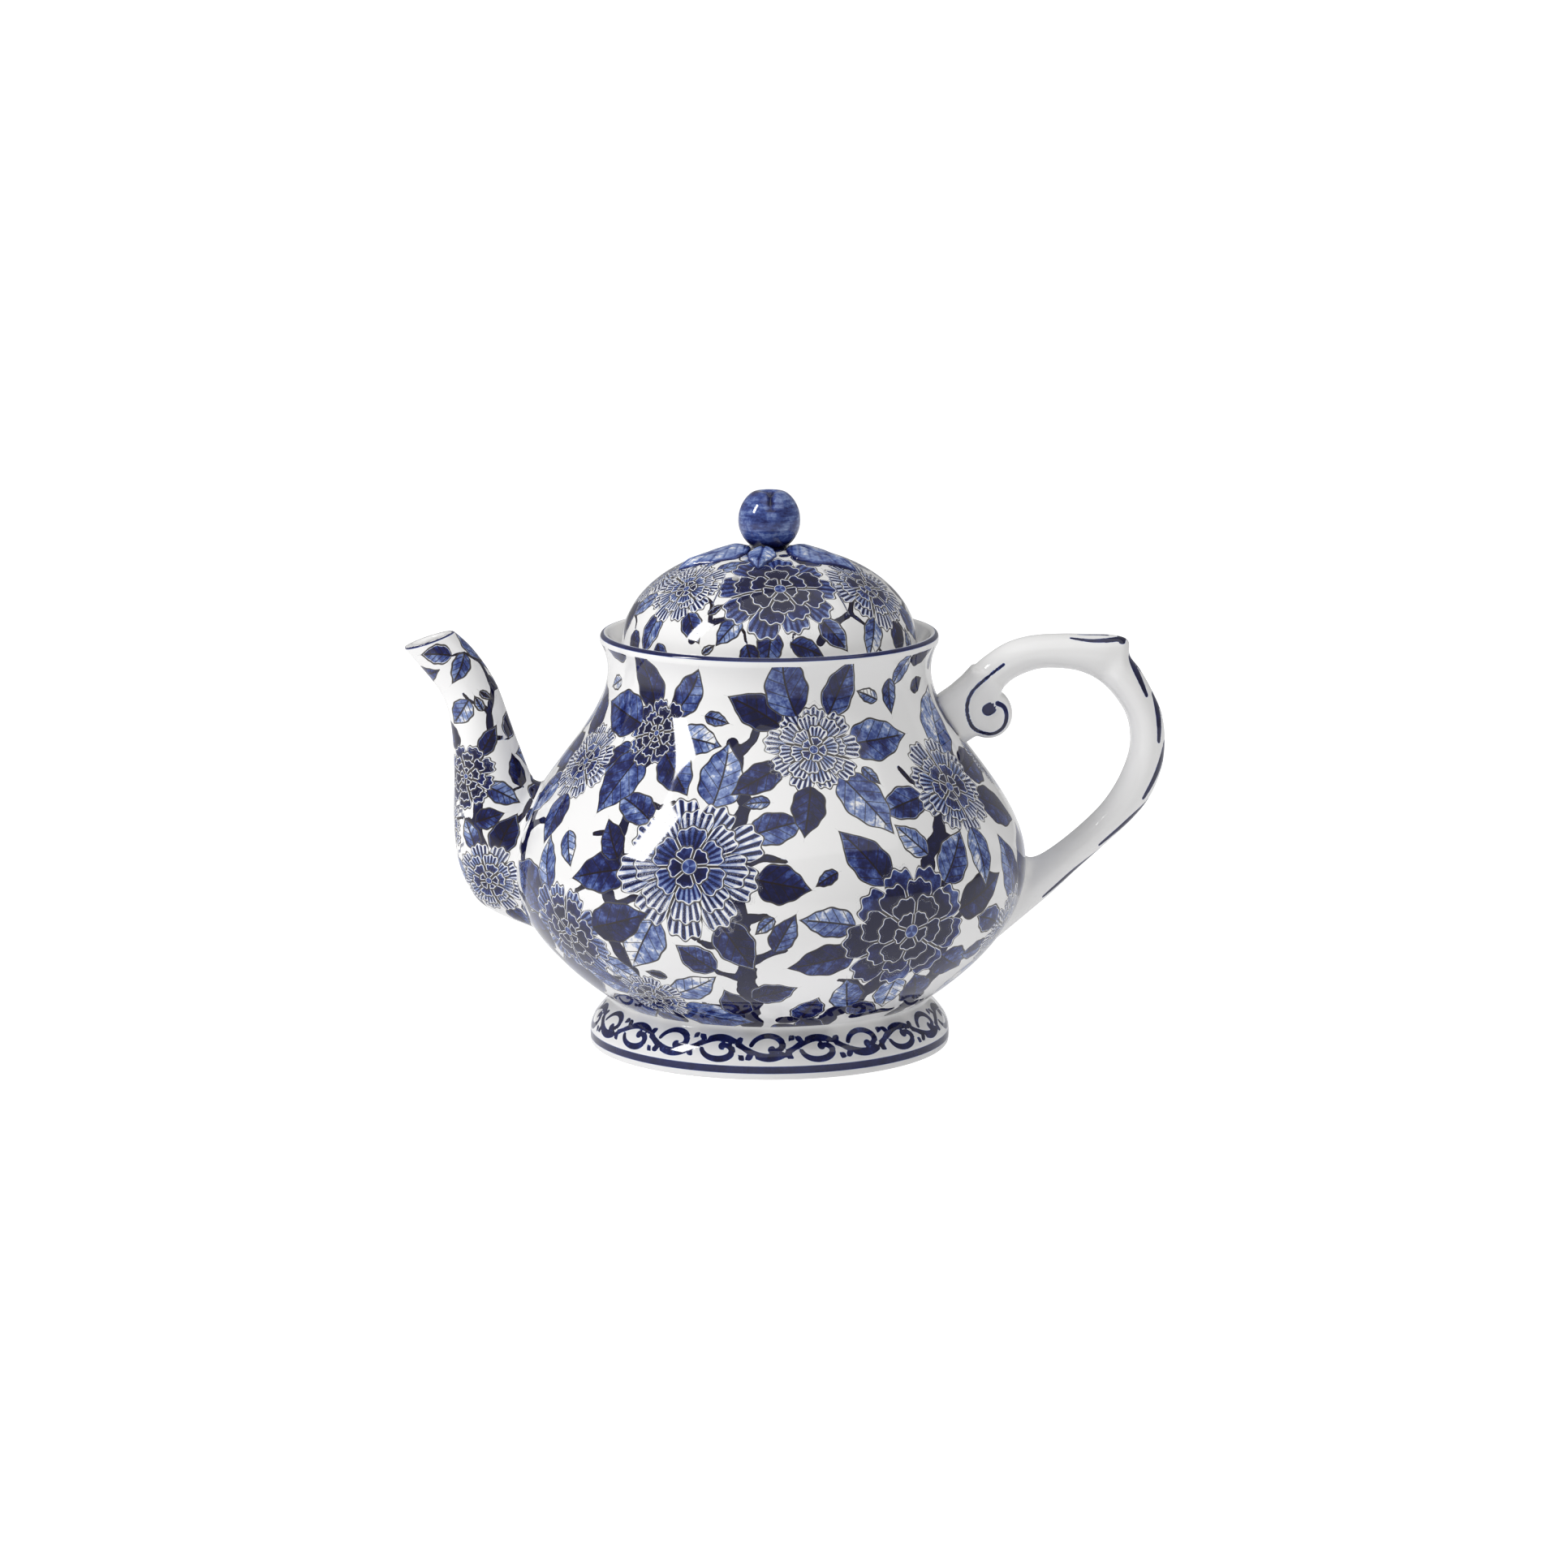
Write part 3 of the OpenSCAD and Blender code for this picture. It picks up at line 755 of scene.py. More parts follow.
def paint_leaf(tree, along, across, mask, length, half, seed, wash):
    """One painted leaf: two tones of wash, a drawn edge, a midrib and side veins."""
    share = along / length.greater(1.0)
    outline = node(tree, "ShaderNodeFloatCurve")
    curve = outline.mapping.curves[0]
    curve.points[0].location, curve.points[1].location = (0, 0.0), (1, 0.0)
    for x, y in LEAF_OUTLINE:
        curve.points.new(x, y)
    for point in curve.points:
        point.handle_type = "AUTO"
    outline.mapping.update()
    tree.links.new(share.clamped().socket, outline.inputs["Value"])
    wide = Field(tree, outline.outputs["Value"])
    flip = (seed * 3.17).part() - 0.5
    teeth = (share * 21.0 + seed).maths("SINE") * 0.04 + 0.96
    edge = half * wide * teeth - across.size()
    sector = along - across.size() * 0.85
    spacing = length / 5.5
    vein_away = ((sector / spacing.greater(0.1)).part() - 0.5).size() * spacing
    rib = (0.3 - across.size()).shown() * ((0.93 - share) * 10.0).clamped()
    vein = (0.2 - vein_away).shown() * 0.85 * (edge - 0.5).shown(0.6)
    rim = 1.0 - (edge - 0.6).shown()
    tone = (seed * 7.31).part()
    ink = 0.24 + tone * 0.56
    half_tone = (across * flip * 40.0).clamped() * -0.14
    ink = ink + half_tone + (wash - 0.5) * 0.7 + (0.5 - share) * 0.12
    bare = (edge - 0.3 - (seed * 5.3).part() * 0.5).shown(0.3)
    ink = (ink * bare).clamped()
    return {"Ink": ink, "Line": rim.greater(rib).greater(vein),
            "Cover": edge.shown() * mask.shown()}


def leaf_group():
    return shared_group(
        "Painted leaf", ("Along", "Across", "Mask", "Length", "Half Width", "Seed", "Wash"),
        LAYER, paint_leaf)


def paint_petals(tree, radius, angle, reach, petals, turn, seed, tone, wash):
    """A ring of petals round a flower's middle."""
    lap = angle / (2 * pi) * petals + turn + petals + petals
    which = lap.whole()
    share = lap - which - 0.5
    which = which.maths("FLOORED_MODULO", petals)
    chance = node(tree, "ShaderNodeTexWhiteNoise")
    chance.noise_dimensions = "1D"
    feed(tree, which * 1.37 + seed + reach, chance.inputs["W"])
    luck = Field(tree, chance.outputs["Value"])
    tip = 1.0 - (share.size() * 2.0).maths("POWER", 3.2) * 0.2
    lobes = (share * (6 * pi)).maths("COSINE") * 0.03
    edge = reach * ((luck * 0.14 + 0.86) * tip + lobes) - radius
    side = (0.5 - share.size()) * radius * 2 * pi / petals
    within = edge.lesser(side * 1.2)
    rim = 1.0 - (within - 0.5).shown()
    bare = (within - 0.85).shown(0.3)
    combed = (share * (2 * pi * 5.5) + luck * 6.0).maths("SINE").shown(1.1)
    depth = edge / reach
    washed = tone + (luck - 0.5) * 0.3 + (wash - 0.5) * 0.6 + depth * 0.6
    strokes = combed * 0.68 + depth * 0.5 + (wash - 0.5) * 0.3
    ink = blended(tree, strokes, washed, ((tone - 0.38) * 6.0).clamped())
    return {"Ink": (ink * bare).clamped(), "Line": rim, "Cover": edge.shown()}


def petal_group():
    return shared_group(
        "Petal ring", ("Radius", "Angle", "Reach", "Petals", "Turn", "Seed", "Tone", "Wash"),
        LAYER, paint_petals)


# A rosette's rings from the outside in: reach as a share of its size, petals, turn, depth of ink.
PETAL_RINGS = (
    (1.0, 9, 0.05, 0.3), (0.77, 8, 0.4, 0.4), (0.54, 6, 0.1, 0.5), (0.31, 5, 0.7, 0.6))


def paint_rosette(tree, x, y, mask, size, seed, tone, wash):
    """A painted flower of four rings of petals, one over the other, and a dotted heart."""
    radius = (x * x + y * y).maths("SQRT")
    angle = y.maths("ARCTAN2", x)
    layers, cover = BARE, None
    for share, petals, turn, depth in PETAL_RINGS:
        ring = placed(
            tree, petal_group(), Radius=radius, Angle=angle, Reach=size * share, Petals=petals,
            Turn=turn, Seed=seed, Tone=tone * 0.4 + (depth - 0.14), Wash=wash)
        layers = laid_over(tree, layers, ring)
        cover = cover or ring["Cover"]
    heart = size * 0.11 - radius
    dots = (angle * 1.6).maths("SINE").size() * 0.5 + 0.5
    layers = laid_over(tree, layers, {
        "Ink": dots * 0.5 * (heart - 0.5).shown(), "Line": 1.0 - (heart - 0.35).shown(),
        "Cover": heart.shown()})
    return {**layers, "Cover": cover * mask.shown()}


def rosette_group():
    return shared_group(
        "Painted rosette", ("X", "Y", "Mask", "Size", "Seed", "Tone", "Wash"), LAYER,
        paint_rosette)


def wash_and_wave(tree):
    """The unevenness of a brushed wash, and the slow waves and specks of a dipped glaze."""
    place = node(tree, "ShaderNodeTexCoord").outputs["Object"]
    pools = noise(tree, place, 260, 3, 0.6)
    grain = noise(tree, place, 1300, 2, 0.5)
    return {
        "Wash": ((pools - 0.5) * 1.5 + (grain - 0.5) * 0.45 + 0.5).clamped(),
        "Wave": noise(tree, place, 26, 1, 0.4),
        "Speck": (noise(tree, place, 1900, 0) - 0.79).shown(0.03),
    }


def wash_group():
    return shared_group("Wash and glaze", (), ("Wash", "Wave", "Speck"), wash_and_wave)


def ramp(tree, share, stops):
    made = node(tree, "ShaderNodeValToRGB")
    elements = made.color_ramp.elements
    while len(elements) < len(stops):
        elements.new(0.5)
    for element, (place, colour) in zip(elements, stops):
        element.position, element.color = place, (*colour, 1)
    feed(tree, share, made.inputs["Fac"])
    return made.outputs["Color"]


def colour_mix(tree, first, second, share):
    made = node(tree, "ShaderNodeMix")
    made.data_type = "RGBA"
    feed(tree, share, made.inputs[0])
    for value, i in ((first, 6), (second, 7)):
        if isinstance(value, bpy.types.NodeSocket):
            tree.links.new(value, made.inputs[i])
        else:
            made.inputs[i].default_value = (*value, 1)
    return made.outputs[2]


GLAZE_IOR = 1.52
INK_STOPS = (0.0, 0.05, 0.2, 0.4, 0.56, 0.8)     # the ink that gives each colour of the ramp
BORDER_INK = 0.66
VINE_INK = 0.66
BRANCH_INK = 0.86
BRANCH_EDGE = 0.38       # how wide a branch's drawn edge is, in millimetres
STROKE_INK = 0.74


def glazed(name, design):
    """A glossy white glaze. The design paints under it: it gets the tree and the wash's
    fields, and gives the ink and the line."""
    if name in bpy.data.materials:
        return bpy.data.materials[name]
    p = paint()
    material = bpy.data.materials.new(name)
    material.use_nodes = True
    tree = material.node_tree
    tree.nodes.clear()
    shader = node(tree, "ShaderNodeBsdfPrincipled")
    output = node(tree, "ShaderNodeOutputMaterial")
    tree.links.new(shader.outputs[0], output.inputs["Surface"])
    fields = placed(tree, wash_group())
    layers = design(tree, fields)
    colours = (p.glaze, p.glaze, p.pale_blue, p.mid_blue, p.deep_blue, p.blackened_blue)
    blues = ramp(tree, layers["Ink"], tuple(zip(INK_STOPS, colours)))
    colour = colour_mix(tree, blues, tuple(p.line), layers["Line"] * 0.95)
    tree.links.new(colour, shader.inputs["Base Color"])
    tree.links.new((fields["Wave"] * 0.03 + (p.gloss - 0.015)).socket, shader.inputs["Roughness"])
    shader.inputs["IOR"].default_value = GLAZE_IOR
    bump = node(tree, "ShaderNodeBump")
    bump.inputs["Strength"].default_value = 0.3
    bump.inputs["Distance"].default_value = 0.0009
    tree.links.new((fields["Wave"] + fields["Speck"] * 0.02).socket, bump.inputs["Height"])
    tree.links.new(bump.outputs["Normal"], shader.inputs["Normal"])
    return material


def branches(tree, wash):
    """Brushed branches with a drawn edge, from how far inside one a point lies."""
    field = stored_number(tree, "stem")
    return {"Ink": (wash - 0.5) * 0.95 + BRANCH_INK, "Line": 1.0 - (field - BRANCH_EDGE).shown(),
            "Cover": field.shown()}


def flowers_and_branches(tree, fields):
    """Branches, two layers of leaves, rosettes and a third layer of leaves."""
    wash = fields["Wash"]
    layers = laid_over(tree, BARE, branches(tree, wash))

    def leaf(name):
        along, across, mask = stored(tree, name + "_place")
        length, half, seed = stored(tree, name + "_kind")
        return placed(tree, leaf_group(), Along=along, Across=across, Mask=mask, Length=length,
                      Half_Width=half, Seed=seed, Wash=wash)

    layers = laid_over(tree, layers, leaf("leaf_1"))
    layers = laid_over(tree, layers, leaf("leaf_2"))
    x, y, mask = stored(tree, "flower_place")
    size, seed, tone = stored(tree, "flower_kind")
    layers = laid_over(tree, layers, placed(
        tree, rosette_group(), X=x, Y=y, Mask=mask, Size=size, Seed=seed, Tone=tone, Wash=wash))
    layers = laid_over(tree, layers, leaf("leaf_3"))
    return with_border(tree, layers, wash)


def with_border(tree, layers, wash):
    """Lays the plain blue line of a rim, mouth or foot over what is painted."""
    border = stored_number(tree, "border")
    return laid_over(tree, layers, {
        "Ink": (wash - 0.5) * 0.3 + BORDER_INK, "Line": 0.0, "Cover": border.shown(0.25)})


def scroll_vine(tree, fields):
    """The foot's vine without outlines, and the line below it."""
    wash = fields["Wash"]
    layers = laid_over(tree, BARE, {
        "Ink": (wash - 0.5) * 0.6 + VINE_INK, "Line": 0.0,
        "Cover": stored_number(tree, "stem").shown(0.2)})
    return with_border(tree, layers, wash)


def brushed_strokes(tree, fields):
    """Strokes of a loaded brush on bare glaze."""
    cover = stored_number(tree, "border").shown(0.25)
    return {"Ink": ((fields["Wash"] - 0.5) * 0.4 + STROKE_INK) * cover, "Line": 0.0}


def sponged_blue(tree, fields):
    """Watery blue all over, in streaks, deeper in relief, with painted shade where parts meet."""
    flat = node(tree, "ShaderNodeMapping")
    flat.inputs["Scale"].default_value = (0.22, 0.22, 1)
    tree.links.new(node(tree, "ShaderNodeTexCoord").outputs["Object"], flat.inputs["Vector"])
    streaks = noise(tree, flat.outputs["Vector"], 700, 3, 0.6) - 0.5
    ink = stored_number(tree, "depth") + (fields["Wash"] - 0.5) * 0.4 + streaks * 0.75
    return {"Ink": ink.clamped(), "Line": 0.0}


# ---------------------------------------------------------------- outlines of the thrown pieces

LID_RADIUS = 47.3
LID_WALL = 3.6
LID_EDGE_GAP = 1.2
FLANGE_RADIUS = 41.5
FLANGE_DEPTH = 11.5
FLANGE_WALL = 3.4
FLANGE_CLEARANCE = 0.9
LEDGE_THICKNESS = 4.0
FLOOR_THICKNESS = 5.0
FOOT_EDGE = 4.0
FOOT_RING = 6.0
VENT = (249, 28.5, 3.0)  # azimuth, distance from the axis, diameter
STRAINER_HOLE = 3.2      # diameter
STRAINER_PITCH = 5.0
STRAINER_RINGS = 2       # of holes, round the middle one
JOIN_DEPTH = 0.5         # how far a luted piece runs into the wall that it joins


def softened(points, radius, steps=4):
    """Rounds the corners of an outline."""
    kept = [points[0]]
    for before, here, after in zip(points, points[1:], points[2:]):
        a, b, c = np.array(before), np.array(here), np.array(after)
        to_a, to_c = a - b, c - b
        reach = min(radius, np.linalg.norm(to_a) / 2, np.linalg.norm(to_c) / 2)
        start, end = b + unit(to_a) * reach, b + unit(to_c) * reach
        for i in range(steps + 1):
            t = i / steps
            kept.append(tuple(start * (1 - t) ** 2 + 2 * b * t * (1 - t) + end * t * t))
    return kept + [points[-1]]


def seat_height():
    return form().rim_height / MM - SEAT_BELOW_RIM


def lid_height():
    return seat_height() + REST_GAP


def dome_top(r, wall=0.0):
    """Height of the lid's dome at a distance from the axis."""
    height = corner("lid", 1, 2) - lid_height() - wall
    share = min(r / (LID_RADIUS - wall), 1)
    return lid_height() + height * (1 - share ** DOME_FULLNESS) ** (1 / DOME_FULLNESS)


def body_outline():
    """The section of the thrown body, from the middle of its underside round to its floor."""
    f = form()
    rim_z, rim_r = f.rim_height / MM, f.rim_diameter / 2 / MM
    waist_z, neck_z = f.waist_height / MM, f.rim_height / MM - NECK_BELOW_RIM
    lip_r = LIP_THICKNESS / 2
    floor_z = waist_z + FLOOR_THICKNESS
    top_z = rim_z - LIP_THICKNESS
    heights = [waist_z + (top_z - waist_z) * i / 80 for i in range(81)]
    wall = [(body_radius(z), z) for z in heights]
    ledge_r, ledge_z = FLANGE_RADIUS + FLANGE_CLEARANCE, seat_height() - LEDGE_THICKNESS
    ledge_foot = ledge_z - (inner_radius(neck_z) - ledge_r)
    heights = [ledge_foot + (floor_z + 2 - ledge_foot) * i / 40 for i in range(41)]
    inside = [(inner_radius(z), z) for z in heights]
    lip = arc((rim_r - lip_r, rim_z - lip_r), lip_r, 8, 172, 12)
    ledge = softened(
        [lip[-1], (LID_RADIUS + LID_EDGE_GAP, seat_height()), (ledge_r, seat_height()),
         (ledge_r, ledge_z), inside[0]], 0.8)
    floor = softened([inside[-1], (inside[-1][0] - 3, floor_z), (0, floor_z)], 3)
    under = [(0, waist_z), (wall[0][0] * 0.6, waist_z)]
    return under + even_curve(wall, 1.18) + lip + ledge[1:-1] + even_curve(inside, 3.2) + floor[1:]


def foot_outline():
    """The section of the hollow foot, closed on itself, with the fillet that luting leaves."""
    f = form()
    waist_z, waist_r = f.waist_height / MM, f.waist_diameter / 2 / MM
    foot_r = f.foot_diameter / 2 / MM
    flare = foot_r - waist_r
    bell = [(waist_r + flare * sin(pi / 2 * t), waist_z - (waist_z - FOOT_EDGE) * t)
            for t in [0.14 + 0.86 * i / 20 for i in range(21)]]
    fillet = [(body_radius(waist_z + 1.6) - 0.25, waist_z + 1.6), (waist_r + 1.1, waist_z + 0.8),
              (waist_r + 0.8, waist_z + 0.1), (waist_r + 0.95, waist_z - 0.7)]
    edge = even_curve([(foot_r, FOOT_EDGE), (foot_r + 0.05, 2.6), (foot_r, 1.2)], 0.45)
    rounding = arc((foot_r - 1, 1.0), 1.0, -10, -90, 5)
    ring_r = foot_r - FOOT_RING
    hollow = [(ring_r - flare * smooth_share(i / 14), (waist_z + JOIN_DEPTH) * i / 14)
              for i in range(15)]
    return ([(waist_r, waist_z + 2)] + even_curve(fillet + bell, 0.45) + edge[1:] + rounding[1:]
            + [(ring_r + 2, 0)] + hollow)


def lid_outline():
    """The section of the domed lid and its flange."""
    low = lid_height()
    shelf = low + LID_WALL
    inner = LID_RADIUS - LID_WALL
    dome, hollow = [], []
    for i in range(61):
        turn = pi / 2 * i / 60
        dome.append((LID_RADIUS * cos(turn) ** (2 / DOME_FULLNESS),
                     dome_top(0) + (low - dome_top(0)) * (1 - sin(turn) ** (2 / DOME_FULLNESS))))
    for i in range(31):
        turn = pi / 2 * (1 - 0.88 * i / 30)
        top = dome_top(0, LID_WALL)
        hollow.append((inner * max(cos(turn), 0) ** (2 / DOME_FULLNESS),
                       low + (top - low) * sin(turn) ** (2 / DOME_FULLNESS)))
    bottom = low - FLANGE_DEPTH
    flange = softened(
        [hollow[-1], (FLANGE_RADIUS - FLANGE_WALL, shelf), (FLANGE_RADIUS - FLANGE_WALL, bottom),
         (FLANGE_RADIUS, bottom), (FLANGE_RADIUS, low), (LID_RADIUS, low), dome[1]], 0.9)
    dome[-1], hollow[0] = (0, dome[-1][1]), (0, hollow[0][1])
    outer = even_curve(dome[1:], 0.85)
    return list(reversed(outer)) + list(reversed(even_curve(hollow, 2.4) + flange[1:-1]))


KNOB_WAIST = 0.47        # height of the fruit's widest part, as a share of its own
KNOB_START = -56.2       # angle below that part, in degrees, where the fruit meets the lid
DIMPLE = (2.3, 3.1)      # depth and breadth


def knob_outline():
    """The section of the fruit, dimpled at its top."""
    low, high = corner("knob", 0, 2), corner("knob", 1, 2)
    radius = (corner("knob", 1, 0) - corner("knob", 0, 0)) / 2
    half_low = (high - low) * KNOB_WAIST
    start = radians(KNOB_START)
    turns = [start + (pi / 2 - start) * i / 70 for i in range(71)]
    deep, broad = DIMPLE
    rise = [max(0.0, (high - low - half_low) * sin(t))
            - (deep * exp(-(radius * cos(t) / broad) ** 2) if t > 0 else 0) for t in turns]
    fit = (high - low - half_low) / max(rise)
    points = [(0, low - JOIN_DEPTH), (radius * cos(start) + 0.2, low - JOIN_DEPTH)]
    for t, up in zip(turns, rise):
        z = low + half_low + (half_low * sin(t) / sin(-start) if t < 0 else up * fit)
        points.append((radius * cos(t) if t < pi / 2 else 0, z))
    return points


# ---------------------------------------------------------------- rails of the swept pieces

SPOUT_ROOT = (60.4, 47.0, 33.0)      # height, and the root oval's height and width
SPOUT_MOUTH = (16.6, 15.8)           # the mouth oval's height and width
SPOUT_REACH = 26.4
SPOUT_RISE = 70.2
SPOUT_WALL = 3.0
# From the root to the mouth: the section's middle out and up, as shares of the reach and
# the rise, its tilt, and how much of the root's extra height and width is left.
SPOUT_STATIONS = (
    (0.02, 0.05, 70, 0.92, 0.86), (0.15, 0.105, 59, 0.8, 0.78), (0.222, 0.18, 47, 0.625, 0.68),
    (0.255, 0.281, 30, 0.387, 0.52), (0.289, 0.43, 11, 0.195, 0.33), (0.383, 0.611, 8, 0.07, 0.16),
    (0.491, 0.75, 15, 0.03, 0.1), (0.647, 0.85, 22, 0.015, 0.07), (0.822, 0.931, 23, 0.015, 0.03),
    (1, 1, 18, 0, 0))

HANDLE_ROOT = (46.0, 27.0, 18.0)
HANDLE_REACH = 45.0
HANDLE_RISE = 32.5
STRAP = (11.3, 13.0)                 # thickness and width
# From the scroll to the lower root: out and up from the line between the strap's ends, as
# shares of the reach and the rise, the section's tilt, and its thickness and width.
STRAP_STATIONS = (
    (0, 0, 148, 1.07, 0.98), (0.08, 0.23, 139, 1.02, 0.96), (0.19, 0.445, 126, 1.03, 0.95),
    (0.313, 0.615, 111, 0.99, 0.95), (0.457, 0.743, 88, 0.98, 0.97), (0.607, 0.85, 68, 1.1, 0.99),
    (0.73, 0.94, 58, 1.32, 0.96), (0.813, 1, 54, 1.42, 0.86), (0.843, 0.998, 58, 1.13, 0.98),
    (0.901, 0.988, 54, 1.08, 1), (0.96, 0.935, 38, 0.98, 1), (0.996, 0.873, 21, 0.99, 1),
    (1, 0.777, 7, 1, 1), (0.964, 0.66, -11, 1.04, 1), (0.876, 0.521, -24, 1.04, 1.02),
    (0.746, 0.413, -31, 0.95, 1.05), (0.575, 0.313, -42, 0.88, 1.1),
    (0.377, 0.202, -58, 0.92, 1.16), (0.2, 0.127, -77, 1.18, 1.24))

SCROLL_BELOW_RIM = 26.4
SCROLL_STAND = 13.4
SCROLL_DIAMETER = 15.6
SCROLL_WIDTH = 13.0
SCROLL_FOOT = 9.6
SCROLL_HEAD = 5.2
STRAP_SEAT = 11.0


def round_axis(azimuth, r, z):
    """A point from its azimuth in degrees, its distance from the axis and its height."""
    return np.array((r * cos(radians(azimuth)), r * sin(radians(azimuth)), z))


def sideways(azimuth):
    """The level heading round the axis at an azimuth."""
    return np.array((-sin(radians(azimuth)), cos(radians(azimuth)), 0))


def scroll_middle():
    z = form().rim_height / MM - SCROLL_BELOW_RIM
    return body_radius(z) + SCROLL_STAND, z


def spout_ring(station, inset, sides):
    """The spout's section at a station, drawn in from its skin by an inset."""
    out, up, tilt, deep, wide = station
    middle = (-body_radius(SPOUT_ROOT[0]) - out * SPOUT_REACH, SPOUT_ROOT[0] + up * SPOUT_RISE)
    height = SPOUT_MOUTH[0] + deep * (SPOUT_ROOT[1] - SPOUT_MOUTH[0])
    width = SPOUT_MOUTH[1] + wide * (SPOUT_ROOT[2] - SPOUT_MOUTH[1])
    return oval_ring(middle, tilt, height - 2 * inset, width - 2 * inset, sides)


def spout_rings(sides):
    """The spout's rings: up its outside, over the mouth's edge and down its inside."""
    z, high, wide = SPOUT_ROOT
    outside = [skin_ring(z, high + 3, wide + 3, -JOIN_DEPTH, -1, sides),
               skin_ring(z, high + 0.6, wide + 0.6, 0.7, -1, sides)]
    outside += [spout_ring(s, 0, sides) for s in SPOUT_STATIONS]
    inside = [skin_ring(z, high - 6, wide - 6, -JOIN_DEPTH, -1, sides)]
    inside += [spout_ring(s, SPOUT_WALL, sides) for s in SPOUT_STATIONS]

    def smooth(rings, rows, passes):
        table = np.array(filled_in(rings, rows)).reshape(rows + 1, -1)
        return [[tuple(p) for p in row.reshape(-1, 3)] for row in eased(table, passes)]

    end = SPOUT_STATIONS[-1]
    edge = [spout_ring(end, inset, sides) for inset in (0.25, 0.8, 1.5, 2.2, 2.75)]
    outer, inner = smooth(outside, 100, 8), smooth(inside, 44, 3)
    return outer[:-1] + edge + list(reversed(inner[:-1]))


def strap_end():
    """Where the strap starts, on top of the scroll."""
    cx, cz = scroll_middle()
    return np.array((cx - 0.6, cz + STRAP_SEAT))


def strap_rings(sides):
    """The strap's sections, from the scroll over the spur and down into the belly's skin."""
    top = strap_end()
    root = np.array((body_radius(HANDLE_ROOT[0]), HANDLE_ROOT[0]))
    rings = []
    last = len(STRAP_STATIONS)
    for i, (out, up, tilt, thick, wide) in enumerate(STRAP_STATIONS):
        middle = top + (root - top) * i / last + np.array((out * HANDLE_REACH, up * HANDLE_RISE))
        rings.append(oval_ring(middle, tilt, thick * STRAP[0], wide * STRAP[1], sides))
    z, high, wide = HANDLE_ROOT
    rings.append(skin_ring(z, high + 0.4, wide + 0.4, 0.8, 1, sides))
    rings.append(skin_ring(z, high + 3.4, wide + 3.4, -JOIN_DEPTH, 1, sides))
    return filled_in(rings, 160)


def scroll_rings():
    """Slices of the scroll across its width, each a loop of points in the XZ plane."""
    cx, cz = scroll_middle()
    tilt = radians(STRAP_STATIONS[0][2])
    half = STRAP_STATIONS[0][3] * STRAP[0] / 2
    across = np.array((cos(tilt), sin(tilt)))
    seat = strap_end() - 1.5 * np.array((-sin(tilt), cos(tilt)))
    rings = []
    for i in range(17):
        share = 2 * i / 16 - 1
        y = -share * SCROLL_WIDTH / 2
        inset = 2.6 * (1 - sqrt(1 - share ** 4 * 0.98))
        low, high = cz - SCROLL_FOOT + inset, cz + SCROLL_HEAD - inset
        outer, inner = seat + across * (half - inset), seat - across * (half - inset)
        heights = [low + (high - low) * k / 6 for k in range(7)]
        loop = [(skin_x(y, z) - JOIN_DEPTH, z) for z in heights]
        start = np.array((skin_x(y, high) - JOIN_DEPTH, high))
        for k in range(1, 4):
            hollow = np.array((0.5, -0.5)) * sin(radians(60 * k))
            loop.append(tuple(start + (outer - start) * k / 3 + hollow))
        loop += [tuple(outer), tuple(inner)]
        loop += arc((cx, cz), SCROLL_DIAMETER / 2 - inset, 62, -118, 16)
        rings.append([(p[0], y, p[1]) for p in loop])
    return rings


# ---------------------------------------------------------------- pieces

# Flowers are an azimuth, a height on the body or a distance from the axis on the lid, a
# radius and a tone, from 0 for pale to 1 for deep.
BODY_FLOWERS = (
    (252, 72, 25, 0.25), (303, 50, 24, 1.0), (284, 105, 16, 0.05), (218, 46, 18, 0.7),
    (236, 26, 13, 0.5), (326, 90, 18, 0.35), (231, 108, 12, 0.9), (342, 42, 16, 0.15),
    (205, 96, 15, 0.3), (20, 62, 24, 0.8), (62, 92, 19, 0.2), (68, 42, 20, 0.5),
    (106, 66, 25, 0.9), (143, 96, 17, 0.35), (146, 46, 22, 0.1), (30, 106, 12, 0.5),
    (100, 108, 12, 0.15), (0, 92, 13, 0.6))
BODY_STEMS = (288, 264, 318, 238, 30, 75, 118, 160, 205, 350)    # azimuths
STEM_FOOT = 17           # height that the tall branches start at
GROUND_HEIGHT = 19
BODY_LOOSE = (1000, 9, 18)           # tries, then the least and greatest length
SMALL_LOOSE = (500, 6, 13)           # on the spout and the lid
LID_FLOWERS = (
    (276, 33, 20, 0.8), (222, 35, 14, 0.2), (330, 36, 16, 0.35), (20, 31, 14, 0.9),
    (75, 34, 18, 0.3), (128, 35, 16, 0.85), (180, 33, 15, 0.1))
# On the spout they are out from the belly, aside, a height, a radius and a tone.
SPOUT_FLOWERS = (
    (-11, -20, 52, 13, 0.35), (-12, 20, 58, 14, 0.3), (-19, -14, 88, 11, 1.0),
    (-18, 12, 96, 9, 0.85), (-30, 0, 70, 9, 0.5))
LID_STEM_RADIUS = 46
BODY_SIDES, FOOT_SIDES, LID_SIDES, KNOB_SIDES = 430, 700, 340, 120     # round each turned piece
SPOUT_SIDES, STRAP_SIDES = 100, 40
RIM_LINE = (53.4, 0.5, 0.75)         # radius, depth below the lip, half-width
FOOT_LINE = (3.3, 1.15)              # height, half-width
MOUTH_LINE = 0.6                     # half-width


def on_body(azimuth, z):
    """A point of the body's skin."""
    return round_axis(azimuth, body_radius(z), z)


def on_dome(azimuth, r):
    """A point of the lid's top."""
    return round_axis(azimuth, r, dome_top(r))


def for_each(numbers, function):
    """A function of each number, worked out once for those that are alike."""
    different, places = np.unique(np.round(numbers, 3), return_inverse=True)
    return np.array([function(float(n)) for n in different])[places]


def radii(points):
    return np.hypot(points[:, 0], points[:, 1])


